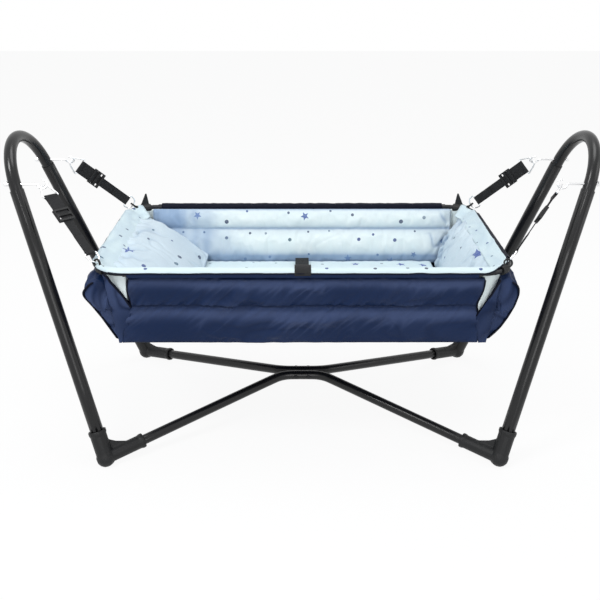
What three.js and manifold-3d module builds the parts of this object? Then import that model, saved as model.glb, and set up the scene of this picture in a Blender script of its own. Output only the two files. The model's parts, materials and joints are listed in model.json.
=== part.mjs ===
// Hanging baby cradle: a soft tub on four straps inside a bent-tube stand.
// Millimetres, +Z up, X along the length, the front is -Y.
import * as THREE from 'three';
import { mergeVertices } from 'three/addons/utils/BufferGeometryUtils.js';
import Module from 'manifold-3d';

const wasm = await Module();
wasm.setup();

// Stand
const FOOT_HALF_LENGTH = 487;
const FOOT_HALF_WIDTH = 300;
const legLeanShare = { outward: 0.2911, inward: 0.2606 };
const LEG_RADIUS = 17;
const LEG_BORE = 15.7;
const ARCH_RADIUS = 15;
const ARCH_BORE = 13.4;
const LIP_ABOVE_RAIL = 159;
const ARCH_STRAIGHT = 5.3;
const ARCH_INSERT = 55;
const HOOK_ABOVE_LIP = 14;
const BASE_RADIUS = 13;
const BASE_BORE = 11.4;
const BASE_CENTRE_HEIGHT = 101;
const BASE_FLAT_HALF = 56;
const BASE_BEND_REACH = 28;
const BASE_CENTRE_GAP = 0.8;

// Elbows
const ELBOW_HEIGHT = 20;
const ELBOW_BALL = 24;
const LEG_SOCKET_RADIUS = 21;
const LEG_SOCKET_LENGTH = 74;
const BASE_SOCKET_RADIUS = 17.5;
const BASE_SOCKET_LENGTH = 104;
const SOCKET_BEAD = 1.8;
const SOCKET_BEAD_LENGTH = 10;
const SOCKET_CLEARANCE = 0.3;
const LEG_STOP = 20;
const BASE_STOP = 27;
const GUSSET_THICKNESS = 9;
const GUSSET_DIP = 26;

// Centre bolts and hooks
const CENTRE_BOLT_RADIUS = 3;
const CENTRE_BOLT_SPACING = 34;
const BOLT_CLEARANCE = 0.4;
const BOLT_HEAD_RADIUS = 6.5;
const BOLT_HEAD_HEIGHT = 4;
const BOLT_TAIL = 8;
const NUT_RADIUS = 6.4;
const NUT_HEIGHT = 5;
const HOOK_WIRE = 2.75;
const HOOK_HOLE_CLEARANCE = 0.45;
const HOOK_REACH = 40;
const HOOK_EYE_RADIUS = 11;
const HOOK_BEND_REACH = 4;
const HOOK_NUT_STANDOFF = 18.2;
const HOOK_NUT_RADIUS = 6.6;
const HOOK_NUT_HEIGHT = 9;
const HOOK_TAIL = 24;

// Cradle rails
const RAIL_HEIGHT = 503;
const RAIL_HALF_LENGTH = 490;
const RAIL_HALF_WIDTH = 262;
const RAIL_CORNER = 75;
const RAIL_RADIUS = 8.5;
const RAIL_BORE = 7.3;
const END_RAIL_RADIUS = 7;
const RAIL_INSERT = 30;

// Hangers
const RING_WIRE = 2.2;
const RING_CLEARANCE = 0.8;
const TRIANGLE_BAR_DROP = 25;
const TRIANGLE_BAR_HALF = 23.5;
const TRIANGLE_TOP_HALF = 9.5;
const TRIANGLE_CORNER = 4;
const D_BAR_RISE = 25;
const D_BAR_HALF = 17.5;
const D_CORNER = 4;
const WEB_THICKNESS = 1.6;
const STUB_WIDTH = 36;
const STUB_LENGTH = 54;
const STRAP_WIDTH = 25;
const STRAP_DOUBLE = 52;
const SLIDER_WIDTH = 43;
const SLIDER_LENGTH = 34;
const SLIDER_THICKNESS = 9;
const SLIDER_SLOT = 4;
const SLIDER_SLOT_SIDE = 0.5;
const SLIDER_FROM_BAR = 40;
const SLIDER_WINDOW = 9;
const SLIDER_EDGE = 5;
const TAB_REACH = 24;
const TAB_EYE_RADIUS = 11.5;
const TAB_HOLE = 7.5;
const TAB_THICKNESS = 5;
const TAB_NECK = 5;
const TAB_SADDLE_RADIUS = 11.5;
const EAR_HEIGHT = 44;
const EAR_THICKNESS = 4;
const TAB_RAIL_CLEARANCE = 0.5;
const FRONT_PIVOT_GAP = 0.85;
const REAR_PIVOT_GAP = 2.4;

// Outer shell
const SEAT_GAP = 0.3;
const SLEEVE_RADIUS = 12;
const SLEEVE_GAP = 0.4;
const SLEEVE_SHORT = 11;
const END_SLEEVE_RADIUS = 10;
const END_SLEEVE_SHORT = 11;
const PANEL_LAP = 2;
const PANEL_DEPTH = 179;
const PANEL_LEAN_IN = 22;
const PANEL_FLARE = 42;
const PANEL_CROWN = 12;
const PANEL_BACK = 3;
const PANEL_SEAM = 2.8;
const PANEL_EDGE = 2;
const FLOOR_LIFT = 5;
const FLOOR_CROWN = 5;
const WALL_LAP = 4;
const WALL_FOOT_IN = 50;
const WALL_DEPTH = 72;
const WALL_TOP_SHORT = 8;
const WALL_FOOT_SHORT = 4;
const WALL_DRAW_IN = 18;

// Lining and mattress
const LINER_TOP_DROP = 1;
const LINER_DEPTH = 150;
const LINER_LEAN_IN = 42;
const LINER_TOP_SHORT = 60;
const LINER_TAPER = 2;
const LINER_CROWN = 13;
const LINER_BACK = 3;
const LINER_SEAM = 2.6;
const LINER_EDGE = 2;
const PAD_TOP_DROP = 3;
const PAD_SEAT_GAP = 0.9;
const PAD_REST_GAP = 0.8;
const PAD_DEPTH = 142;
const HEAD_PAD_RUN = 190;
const FOOT_PAD_RUN = 75;
const PAD_SIDE_GAP = 5;
const PAD_CROWN = 17;
const PAD_BACK = 4;
const MATTRESS_END_GAP = 10;
const MATTRESS_SIDE_GAP = 6;
const MATTRESS_CROWN = 25;
const MATTRESS_EDGE = 10;

// Belt
const BELT_WIDTH = 38;
const BELT_THICKNESS = 1.8;
const BELT_CLEARANCE = 0.5;
const BELT_TAIL = 30;
const BELT_TURN = 14;
const BELT_STAND = 4;

// Places that follow from the sizes above
const lipHeight = RAIL_HEIGHT + LIP_ABOVE_RAIL;
const hookHeight = lipHeight + HOOK_ABOVE_LIP;
const railStraightHalf = RAIL_HALF_LENGTH - RAIL_CORNER;
const sleeveHalf = railStraightHalf - SLEEVE_SHORT;
const endSleeveHalf = RAIL_HALF_WIDTH - RAIL_CORNER - END_SLEEVE_SHORT;
const panelTop = RAIL_HEIGHT - SLEEVE_RADIUS + PANEL_LAP;
const panelFoot = panelTop - PANEL_DEPTH;
const panelFootY = RAIL_HALF_WIDTH - PANEL_LEAN_IN;
const wallTop = RAIL_HEIGHT - END_SLEEVE_RADIUS + WALL_LAP;
const wallFootX = RAIL_HALF_LENGTH - WALL_FOOT_IN;
const floorHeight = panelFoot + FLOOR_LIFT;
const mattressHeight = floorHeight + FLOOR_CROWN + SEAT_GAP + MATTRESS_CROWN;
const linerTop = RAIL_HEIGHT - LINER_TOP_DROP;
const linerFoot = linerTop - LINER_DEPTH;
const linerTopY = RAIL_HALF_WIDTH - SLEEVE_RADIUS - SEAT_GAP - LINER_EDGE;
const linerFootY = linerTopY - LINER_LEAN_IN;

// How finely round things are drawn
const PIPE_SIDES = 16;
const BORE_SIDES = 8;
const SMALL_SIDES = 12;
const NUT_SIDES = 10;
const SOCKET_SIDES = 12;
const GUSSET_STEPS = 4;
const WIRE_SIDES = 7;
const ARC_STEPS = 14;
const HOOK_STEPS = 11;
const MERGE = 0.0001;

// Outline of an end wall seen from the front: shares of its height, and of its depth outward from its foot
const wallOuterShares = [
  [1, 0.667], [0.97, 0.833], [0.9, 0.958], [0.8, 1], [0.6, 0.861], [0.36, 0.556], [0.12, 0.208], [0, 0.056],
];
const wallInnerShares = [[0, 0], [0.2, 0.014], [0.45, 0], [0.62, 0.111], [0.82, 0.208], [0.95, 0.27], [1, 0.372]];

// Where the tabs and their upright ears lie on the bend of the rail, as shares of it from the side rail
const tabSpanShares = [0.41, 0.59];
const rearTabSpanShares = [0.2, 0.6];
const earShares = { low: 0.22, high: 0.5, tip: 0.3 };

// How far each strap is turned about its own length, as shares of half a turn
const hangerTurnShare = { left_rear: 0.245, right_rear: -0.245, left_front: 0.25, right_front: 0.01 };

const corners = [
  { name: 'left_front', sx: -1, sy: -1 },
  { name: 'right_front', sx: 1, sy: -1 },
  { name: 'left_rear', sx: -1, sy: 1 },
  { name: 'right_rear', sx: 1, sy: 1 },
];
const sides = [{ name: 'front', sy: -1 }, { name: 'rear', sy: 1 }];
const ends = [{ name: 'left', sx: -1 }, { name: 'right', sx: 1 }];

const finishes = {
  tube: { color: 0x161617, roughness: 0.3, metalness: 0.35 },
  plastic: { color: 0x1b1c1e, roughness: 0.55, metalness: 0 },
  chrome: { color: 0xc9ccd0, roughness: 0.16, metalness: 1 },
  web: { color: 0x131416, roughness: 0.85, metalness: 0 },
  rail: { color: 0x202226, roughness: 0.45, metalness: 0.5 },
  navy: { color: 0x28304e, roughness: 0.8, metalness: 0 },
  liner: { color: 0xdcecf4, roughness: 0.88, metalness: 0 },
};

const v3 = (x, y, z) => new THREE.Vector3(x, y, z);
const along = (start, direction, distance) => start.clone().addScaledVector(direction, distance);
const mix = THREE.MathUtils.lerp;

// A curve that is read only at the stations it was given
class StationCurve extends THREE.Curve {
  constructor(stations) {
    super();
    this.stations = stations;
  }

  place(u) {
    return Math.round(u * (this.stations.length - 1));
  }

  getPoint(u) {
    return this.stations[this.place(u)].clone();
  }

  getPointAt(u) {
    return this.getPoint(u);
  }

  getTangentAt(u) {
    const here = this.place(u);
    const last = this.stations.length - 1;
    const before = this.stations[Math.max(here - 1, 0)];
    const after = this.stations[Math.min(here + 1, last)];
    return after.clone().sub(before).normalize();
  }
}

function signedVolume(geometry) {
  const place = geometry.attributes.position;
  const a = v3(0, 0, 0);
  const b = v3(0, 0, 0);
  const c = v3(0, 0, 0);
  let total = 0;
  for (let i = 0; i < geometry.index.count; i += 3) {
    a.fromBufferAttribute(place, geometry.index.getX(i));
    b.fromBufferAttribute(place, geometry.index.getX(i + 1));
    c.fromBufferAttribute(place, geometry.index.getX(i + 2));
    total += a.dot(b.cross(c));
  }
  return total;
}

// One welded surface that faces out
function closed(geometry) {
  const bare = geometry.clone();
  for (const key of Object.keys(bare.attributes)) {
    if (key !== 'position') bare.deleteAttribute(key);
  }
  const welded = mergeVertices(bare, MERGE);
  if (signedVolume(welded) < 0) {
    const order = welded.index.array;
    for (let i = 0; i < order.length; i += 3) {
      [order[i], order[i + 1]] = [order[i + 1], order[i]];
    }
  }
  return welded;
}

function toSolid(geometry) {
  const ready = closed(geometry);
  const vertProperties = new Float32Array(ready.attributes.position.array);
  const triVerts = new Uint32Array(ready.index.array);
  return new wasm.Manifold(new wasm.Mesh({ numProp: 3, vertProperties, triVerts }));
}

function toGeometry(solid) {
  const mesh = solid.getMesh();
  const geometry = new THREE.BufferGeometry();
  geometry.setAttribute('position', new THREE.BufferAttribute(new Float32Array(mesh.vertProperties), 3));
  geometry.setIndex(new THREE.BufferAttribute(new Uint32Array(mesh.triVerts), 1));
  return geometry;
}

function combine(added, taken = []) {
  let whole = toSolid(added[0]);
  for (const extra of added.slice(1)) whole = whole.add(toSolid(extra));
  for (const cut of taken) whole = whole.subtract(toSolid(cut));
  return toGeometry(whole);
}

function ringOfPoints(radius, count) {
  const points = [];
  for (let i = 0; i < count; i += 1) {
    const turn = (2 * Math.PI * i) / count;
    points.push(new THREE.Vector2(radius * Math.cos(turn), radius * Math.sin(turn)));
  }
  return points;
}

// A round tube through the stations, with a bore when one is given
function pipe(stations, radius, count, bore = 0, boreCount = BORE_SIDES) {
  const shape = new THREE.Shape(ringOfPoints(radius, count));
  if (bore > 0) shape.holes.push(new THREE.Path(ringOfPoints(bore, boreCount)));
  const options = { steps: stations.length - 1, bevelEnabled: false, extrudePath: new StationCurve(stations) };
  return new THREE.ExtrudeGeometry(shape, options);
}

// Points of a polyline whose inner corners are rounded
function rounded(points, reach, steps) {
  const out = [points[0]];
  for (let i = 1; i < points.length - 1; i += 1) {
    const toLast = points[i - 1].clone().sub(points[i]).normalize();
    const toNext = points[i + 1].clone().sub(points[i]).normalize();
    const start = along(points[i], toLast, reach);
    const end = along(points[i], toNext, reach);
    const bend = new THREE.QuadraticBezierCurve3(start, points[i], end);
    for (let k = 0; k <= steps; k += 1) out.push(bend.getPoint(k / steps));
  }
  out.push(points[points.length - 1]);
  return out;
}

// A round wire bent in a closed flat loop, drawn in the plane of the two axes
function closedWire(loop, radius, origin, acrossAxis, upAxis) {
  const outAxis = acrossAxis.clone().cross(upAxis);
  const places = [];
  const order = [];
  const total = loop.length;
  for (let i = 0; i < total; i += 1) {
    const before = loop[(i + total - 1) % total];
    const after = loop[(i + 1) % total];
    const run = after.clone().sub(before).normalize();
    for (let k = 0; k < WIRE_SIDES; k += 1) {
      const turn = (2 * Math.PI * k) / WIRE_SIDES;
      const inPlane = radius * Math.cos(turn);
      const across = loop[i].x + run.y * inPlane;
      const up = loop[i].y - run.x * inPlane;
      const point = along(along(origin, acrossAxis, across), upAxis, up);
      const place = along(point, outAxis, radius * Math.sin(turn));
      places.push(place.x, place.y, place.z);
      const nextK = (k + 1) % WIRE_SIDES;
      const nextI = (i + 1) % total;
      const a = i * WIRE_SIDES + k;
      const b = i * WIRE_SIDES + nextK;
      const c = nextI * WIRE_SIDES + nextK;
      const d = nextI * WIRE_SIDES + k;
      order.push(a, b, c, a, c, d);
    }
  }
  const geometry = new THREE.BufferGeometry();
  geometry.setAttribute('position', new THREE.Float32BufferAttribute(places, 3));
  geometry.setIndex(order);
  return geometry;
}

// Points of a closed flat loop with rounded corners
function roundedLoop(points, reach, steps) {
  const out = [];
  const total = points.length;
  for (let i = 0; i < total; i += 1) {
    const here = points[i];
    const toLast = points[(i + total - 1) % total].clone().sub(here).normalize();
    const toNext = points[(i + 1) % total].clone().sub(here).normalize();
    const start = here.clone().addScaledVector(toLast, reach);
    const end = here.clone().addScaledVector(toNext, reach);
    const bend = new THREE.QuadraticBezierCurve(start, here.clone(), end);
    for (let k = 0; k <= steps; k += 1) out.push(bend.getPoint(k / steps));
  }
  return out;
}

function rodBetween(start, end, radius, count = PIPE_SIDES) {
  return pipe([start, end], radius, count);
}

// Stand geometry shared by several pieces
function legPoint(corner, height) {
  const x = corner.sx * (FOOT_HALF_LENGTH + legLeanShare.outward * height);
  const y = corner.sy * (FOOT_HALF_WIDTH - legLeanShare.inward * height);
  return v3(x, y, height);
}

function legDirection(corner) {
  return legPoint(corner, 1).sub(legPoint(corner, 0)).normalize();
}

function elbowCentre(corner) {
  return legPoint(corner, ELBOW_HEIGHT);
}

function baseKink(corner) {
  const y = corner.sy * (BASE_RADIUS + BASE_CENTRE_GAP / 2);
  return v3(corner.sx * BASE_FLAT_HALF, y, BASE_CENTRE_HEIGHT);
}

function baseDirection(corner) {
  return baseKink(corner).sub(elbowCentre(corner)).normalize();
}

// Centreline of an arch: straight ends inside the legs and one round bend over the top
function archStations(sx) {
  const slope = Math.hypot(legLeanShare.outward, 1);
  const climb = v3(sx * legLeanShare.outward, 0, 1).normalize();
  const halfAngle = Math.atan(legLeanShare.inward / slope);
  const meeting = (FOOT_HALF_WIDTH / legLeanShare.inward) * slope;
  const springing = legPoint({ sx, sy: 1 }, lipHeight + ARCH_STRAIGHT);
  const bend = springing.y / Math.cos(halfAngle);
  const centre = meeting - bend / Math.sin(halfAngle);
  const root = v3(sx * FOOT_HALF_LENGTH, 0, 0);
  const widest = Math.PI / 2 - halfAngle;
  const stations = [legPoint({ sx, sy: -1 }, lipHeight - ARCH_INSERT)];
  for (let i = 0; i <= ARC_STEPS; i += 1) {
    const turn = mix(-widest, widest, i / ARC_STEPS);
    const up = centre + bend * Math.cos(turn);
    const place = along(root, climb, up);
    place.y = bend * Math.sin(turn);
    stations.push(place);
  }
  stations.push(legPoint({ sx, sy: 1 }, lipHeight - ARCH_INSERT));
  return stations;
}

function hookAxis(corner, from, to) {
  const on = legPoint(corner, hookHeight);
  const start = v3(on.x + corner.sx * from, on.y, on.z);
  const end = v3(on.x + corner.sx * to, on.y, on.z);
  return [start, end];
}

function makeArch(sx) {
  const body = pipe(archStations(sx), ARCH_RADIUS, PIPE_SIDES, ARCH_BORE);
  const holes = sides.map((side) => {
    const [start, end] = hookAxis({ sx, sy: side.sy }, -2 * ARCH_RADIUS, 2 * ARCH_RADIUS);
    return rodBetween(start, end, HOOK_WIRE + HOOK_HOLE_CLEARANCE, BORE_SIDES);
  });
  return combine([body], holes);
}

function makeLeg(corner) {
  const start = along(elbowCentre(corner), legDirection(corner), LEG_STOP);
  return pipe([start, legPoint(corner, lipHeight)], LEG_RADIUS, PIPE_SIDES, LEG_BORE, PIPE_SIDES);
}

function baseStations(sy) {
  const left = { sx: -1, sy };
  const right = { sx: 1, sy };
  const start = along(elbowCentre(left), baseDirection(left), BASE_STOP);
  const end = along(elbowCentre(right), baseDirection(right), BASE_STOP);
  return rounded([start, baseKink(left), baseKink(right), end], BASE_BEND_REACH, 4);
}

function makeBaseTube(sy) {
  const body = pipe(baseStations(sy), BASE_RADIUS, PIPE_SIDES, BASE_BORE);
  const holes = [-1, 1].map((sx) => {
    const x = (sx * CENTRE_BOLT_SPACING) / 2;
    const reach = 4 * BASE_RADIUS;
    const start = v3(x, -reach, BASE_CENTRE_HEIGHT);
    const end = v3(x, reach, BASE_CENTRE_HEIGHT);
    return rodBetween(start, end, CENTRE_BOLT_RADIUS + BOLT_CLEARANCE, BORE_SIDES);
  });
  return combine([body], holes);
}

// Flat web between the two sockets, with a hollow outer edge
function makeGusset(corner) {
  const centre = elbowCentre(corner);
  const run = baseDirection(corner);
  const leg = legDirection(corner);
  const rise = along(leg, run, -leg.dot(run)).normalize();
  const out = run.clone().cross(rise);
  const legEnd = new THREE.Vector2(leg.dot(run), leg.dot(rise)).multiplyScalar(LEG_SOCKET_LENGTH - SOCKET_BEAD_LENGTH);
  const baseEnd = new THREE.Vector2(BASE_SOCKET_LENGTH - SOCKET_BEAD_LENGTH, BASE_SOCKET_RADIUS / 2);
  const middle = legEnd.clone().add(baseEnd).multiplyScalar(0.5);
  const inward = middle.clone().normalize().multiplyScalar(-GUSSET_DIP);
  const edge = new THREE.QuadraticBezierCurve(baseEnd, middle.clone().add(inward), legEnd);
  const outline = [new THREE.Vector2(0, 0), ...edge.getPoints(GUSSET_STEPS)];
  const depth = GUSSET_THICKNESS;
  const plate = new THREE.ExtrudeGeometry(new THREE.Shape(outline), { depth, bevelEnabled: false });
  plate.translate(0, 0, -depth / 2);
  plate.applyMatrix4(new THREE.Matrix4().makeBasis(run, rise, out).setPosition(centre));
  return plate;
}

function makeElbow(corner) {
  const centre = elbowCentre(corner);
  const leg = legDirection(corner);
  const run = baseDirection(corner);
  const ball = new THREE.SphereGeometry(ELBOW_BALL, SMALL_SIDES, WIRE_SIDES).translate(centre.x, centre.y, centre.z);
  const legTop = along(centre, leg, LEG_SOCKET_LENGTH);
  const baseTop = along(centre, run, BASE_SOCKET_LENGTH);
  const legBead = along(legTop, leg, -SOCKET_BEAD_LENGTH);
  const baseBead = along(baseTop, run, -SOCKET_BEAD_LENGTH);
  const ground = new THREE.BoxGeometry(8 * ELBOW_BALL, 8 * ELBOW_BALL, 4 * ELBOW_BALL);
  ground.translate(centre.x, centre.y, -2 * ELBOW_BALL);
  const legBore = LEG_RADIUS + SOCKET_CLEARANCE;
  const baseBore = BASE_RADIUS + SOCKET_CLEARANCE;
  const added = [
    ball,
    rodBetween(centre, along(legBead, leg, SOCKET_BEAD_LENGTH / 2), LEG_SOCKET_RADIUS, SOCKET_SIDES),
    rodBetween(legBead, legTop, LEG_SOCKET_RADIUS + SOCKET_BEAD, SOCKET_SIDES),
    rodBetween(centre, along(baseBead, run, SOCKET_BEAD_LENGTH / 2), BASE_SOCKET_RADIUS, SOCKET_SIDES),
    rodBetween(baseBead, baseTop, BASE_SOCKET_RADIUS + SOCKET_BEAD, SOCKET_SIDES),
    makeGusset(corner),
  ];
  const taken = [
    ground,
    rodBetween(along(centre, leg, LEG_STOP - SOCKET_CLEARANCE), along(legTop, leg, ELBOW_BALL), legBore),
    rodBetween(along(centre, run, BASE_STOP - SOCKET_CLEARANCE), along(baseTop, run, ELBOW_BALL), baseBore),
  ];
  return combine(added, taken);
}

// Bolts through the crossing of the base tubes, with domed heads in front and nuts behind
function boltFace() {
  return 2 * BASE_RADIUS + BASE_CENTRE_GAP / 2 + SOCKET_CLEARANCE;
}

function turned(profile, count) {
  return new THREE.LatheGeometry(profile.map(([x, y]) => new THREE.Vector2(x, y)), count);
}

function makeCentreBolt(sx) {
  const face = boltFace();
  const tail = face + BOLT_TAIL;
  const profile = [
    [0, -tail], [CENTRE_BOLT_RADIUS, -tail], [CENTRE_BOLT_RADIUS, face],
    [BOLT_HEAD_RADIUS, face], [BOLT_HEAD_RADIUS * 0.9, face + BOLT_HEAD_HEIGHT * 0.5],
    [BOLT_HEAD_RADIUS * 0.5, face + BOLT_HEAD_HEIGHT * 0.9], [0, face + BOLT_HEAD_HEIGHT],
  ];
  const bolt = turned(profile, NUT_SIDES);
  bolt.rotateX(Math.PI);
  bolt.translate((sx * CENTRE_BOLT_SPACING) / 2, 0, BASE_CENTRE_HEIGHT);
  return bolt;
}

function makeCentreNut(sx) {
  const face = boltFace();
  const bore = CENTRE_BOLT_RADIUS + SOCKET_CLEARANCE;
  const shape = new THREE.Shape(ringOfPoints(NUT_RADIUS, 6));
  shape.holes.push(new THREE.Path(ringOfPoints(bore, 12)));
  const nut = new THREE.ExtrudeGeometry(shape, { depth: NUT_HEIGHT, bevelEnabled: false });
  nut.rotateX(-Math.PI / 2);
  nut.translate((sx * CENTRE_BOLT_SPACING) / 2, face, BASE_CENTRE_HEIGHT);
  return nut;
}

function hookCentre(corner) {
  const on = legPoint(corner, hookHeight);
  return v3(on.x - corner.sx * (ARCH_RADIUS + HOOK_REACH + HOOK_EYE_RADIUS), on.y, on.z);
}

// The line of pull runs from the bend of the rail to the middle of the hook
function pullDirection(corner) {
  return hookCentre(corner).sub(railCornerPoint(corner)).normalize();
}

function hookPivot(corner) {
  return along(hookCentre(corner), pullDirection(corner), -HOOK_EYE_RADIUS);
}

// The hook lies in the plane of its rod and the pull
function hookPlane(corner) {
  const pull = pullDirection(corner);
  const outward = v3(corner.sx, 0, 0);
  const raised = along(pull, outward, -pull.dot(outward)).normalize();
  return { outward, raised, aside: outward.clone().cross(raised) };
}

// Threaded rod through the arch whose inner end is bent to an open hook
function makeHook(corner) {
  const centre = hookCentre(corner);
  const { outward, raised } = hookPlane(corner);
  const edge = along(centre, outward, HOOK_EYE_RADIUS);
  const [tail] = hookAxis(corner, HOOK_TAIL, 0);
  const below = along(edge, raised, -HOOK_BEND_REACH);
  const stations = rounded([tail, edge, below], HOOK_BEND_REACH, 3);
  stations.pop();
  const first = -Math.asin(HOOK_BEND_REACH / HOOK_EYE_RADIUS);
  const last = -1.55 * Math.PI;
  for (let i = 0; i <= HOOK_STEPS; i += 1) {
    const turn = mix(first, last, i / HOOK_STEPS);
    const across = along(centre, outward, HOOK_EYE_RADIUS * Math.cos(turn));
    stations.push(along(across, raised, HOOK_EYE_RADIUS * Math.sin(turn)));
  }
  return pipe(stations, HOOK_WIRE, WIRE_SIDES);
}

function makeHookNut(corner) {
  const bore = HOOK_WIRE + SOCKET_CLEARANCE;
  const roof = HOOK_TAIL - HOOK_NUT_STANDOFF + SOCKET_CLEARANCE;
  const profile = [
    [bore, 0], [HOOK_NUT_RADIUS, 0], [HOOK_NUT_RADIUS, HOOK_NUT_HEIGHT * 0.5],
    [HOOK_NUT_RADIUS * 0.72, HOOK_NUT_HEIGHT * 0.85], [0, HOOK_NUT_HEIGHT],
    [0, roof], [bore, roof], [bore, 0],
  ];
  const nut = turned(profile, NUT_SIDES);
  nut.rotateZ(-corner.sx * (Math.PI / 2));
  const [place] = hookAxis(corner, HOOK_NUT_STANDOFF, 0);
  nut.translate(place.x, place.y, place.z);
  return nut;
}

// Cradle rails: the corner is where the strap pulls
function railCornerPoint(corner) {
  const reach = RAIL_CORNER * Math.SQRT1_2;
  const x = corner.sx * (RAIL_HALF_LENGTH - RAIL_CORNER + reach);
  const y = corner.sy * (RAIL_HALF_WIDTH - RAIL_CORNER + reach);
  return v3(x, y, RAIL_HEIGHT);
}

function tabPivot(corner) {
  const start = railCornerPoint(corner);
  return along(start, pullDirection(corner), TAB_REACH);
}

function endRailStations(sx) {
  const inner = railStraightHalf;
  const stations = [v3(sx * (inner - RAIL_INSERT), -RAIL_HALF_WIDTH, RAIL_HEIGHT)];
  for (const sy of [-1, 1]) {
    for (let i = 0; i <= 8; i += 1) {
      const share = sy < 0 ? i / 8 : 1 - i / 8;
      const turn = share * (Math.PI / 2);
      const x = sx * (inner + RAIL_CORNER * Math.sin(turn));
      const y = sy * (RAIL_HALF_WIDTH - RAIL_CORNER + RAIL_CORNER * Math.cos(turn));
      stations.push(v3(x, y, RAIL_HEIGHT));
    }
  }
  stations.push(v3(sx * (inner - RAIL_INSERT), RAIL_HALF_WIDTH, RAIL_HEIGHT));
  return stations;
}

function makeEndRail(sx) {
  return pipe(endRailStations(sx), END_RAIL_RADIUS, NUT_SIDES);
}

function makeSideRail(sy) {
  const start = v3(-railStraightHalf, sy * RAIL_HALF_WIDTH, RAIL_HEIGHT);
  const end = v3(railStraightHalf, sy * RAIL_HALF_WIDTH, RAIL_HEIGHT);
  return pipe([start, end], RAIL_RADIUS, 14, RAIL_BORE, 14);
}

// The frame that a hanger is drawn in: up the strap, across it, and out of its flat side
function hangerFrame(corner) {
  const top = hookPivot(corner);
  const bottom = tabPivot(corner);
  const up = top.clone().sub(bottom).normalize();
  const { outward, aside } = hookPlane(corner);
  const turn = hangerTurnShare[corner.name] * Math.PI;
  const level = along(outward, up, -outward.dot(up)).normalize();
  const out = level.multiplyScalar(Math.cos(turn)).addScaledVector(aside, Math.sin(turn));
  const across = up.clone().cross(out);
  return { top, bottom, up, out, across, length: top.distanceTo(bottom) };
}

function makeTriangleRing(corner) {
  const frame = hangerFrame(corner);
  const apex = HOOK_WIRE + RING_WIRE + RING_CLEARANCE;
  const outline = [
    new THREE.Vector2(-TRIANGLE_BAR_HALF, -TRIANGLE_BAR_DROP),
    new THREE.Vector2(TRIANGLE_BAR_HALF, -TRIANGLE_BAR_DROP),
    new THREE.Vector2(TRIANGLE_TOP_HALF, apex),
    new THREE.Vector2(-TRIANGLE_TOP_HALF, apex),
  ];
  const loop = roundedLoop(outline, TRIANGLE_CORNER, 2);
  return closedWire(loop, RING_WIRE, frame.top, frame.across, frame.up);
}

function makeDRing(corner) {
  const frame = hangerFrame(corner);
  const outline = [
    new THREE.Vector2(D_BAR_HALF, D_BAR_RISE),
    new THREE.Vector2(-D_BAR_HALF, D_BAR_RISE),
  ];
  const bar = [];
  for (const end of outline) {
    const inward = new THREE.Vector2(Math.sign(end.x), 0);
    const start = end.clone().addScaledVector(inward, -D_CORNER);
    const low = end.clone().sub(new THREE.Vector2(0, D_CORNER));
    bar.push(end.x > 0 ? [low, end, start] : [start, end, low]);
  }
  const loop = [];
  for (const [from, kink, to] of bar) {
    const bend = new THREE.QuadraticBezierCurve(from, kink.clone(), to);
    for (let k = 0; k <= 2; k += 1) loop.push(bend.getPoint(k / 2));
  }
  for (let i = 1; i < ARC_STEPS / 2; i += 1) {
    const turn = mix(Math.PI, 2 * Math.PI, i / (ARC_STEPS / 2));
    loop.push(new THREE.Vector2(D_BAR_HALF * Math.cos(turn), D_BAR_HALF * (1 + Math.sin(turn))));
  }
  return closedWire(loop, RING_WIRE, frame.bottom, frame.across, frame.up);
}

// Side outline of webbing that runs round a bar at its start and lies double for a while
function loopedShape(barAt, towards, doubleEnd, singleEnd) {
  const bend = RING_WIRE + RING_CLEARANCE + WEB_THICKNESS;
  const points = [];
  for (let i = 0; i <= 8; i += 1) {
    const turn = mix(-0.25, 1.25, i / 8) * Math.PI;
    points.push(new THREE.Vector2(bend * Math.cos(turn), barAt - towards * bend * Math.sin(turn)));
  }
  const neck = barAt + towards * 2.4 * bend;
  points.push(new THREE.Vector2(-WEB_THICKNESS, neck));
  points.push(new THREE.Vector2(-WEB_THICKNESS, doubleEnd));
  points.push(new THREE.Vector2(0, doubleEnd));
  points.push(new THREE.Vector2(0, singleEnd));
  points.push(new THREE.Vector2(WEB_THICKNESS, singleEnd));
  points.push(new THREE.Vector2(WEB_THICKNESS, neck));
  const shape = new THREE.Shape(points);
  const hole = ringOfPoints(RING_WIRE + RING_CLEARANCE, BORE_SIDES);
  shape.holes.push(new THREE.Path(hole.map((point) => new THREE.Vector2(point.x, point.y + barAt))));
  return shape;
}

function webPiece(frame, shape, width) {
  const piece = new THREE.ExtrudeGeometry(shape, { depth: width, bevelEnabled: false });
  piece.translate(0, 0, -width / 2);
  const sideways = frame.out.clone().cross(frame.up);
  piece.applyMatrix4(new THREE.Matrix4().makeBasis(frame.out, frame.up, sideways).setPosition(frame.top));
  return piece;
}

function makeStrap(corner) {
  const frame = hangerFrame(corner);
  const topBar = -TRIANGLE_BAR_DROP;
  const lowBar = D_BAR_RISE - frame.length;
  const stubEnd = topBar - STUB_LENGTH;
  const stub = loopedShape(topBar, -1, stubEnd, stubEnd - WEB_THICKNESS);
  const strap = loopedShape(lowBar, 1, lowBar + STRAP_DOUBLE, stubEnd + STUB_LENGTH / 3);
  return combine([webPiece(frame, stub, STUB_WIDTH), webPiece(frame, strap, STRAP_WIDTH)]);
}

function localBox(frame, width, length, thickness, shiftOut, shiftUp) {
  const box = new THREE.BoxGeometry(thickness, length, width);
  box.translate(shiftOut, shiftUp, 0);
  const sideways = frame.out.clone().cross(frame.up);
  return box.applyMatrix4(new THREE.Matrix4().makeBasis(frame.out, frame.up, sideways).setPosition(frame.top));
}

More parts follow.
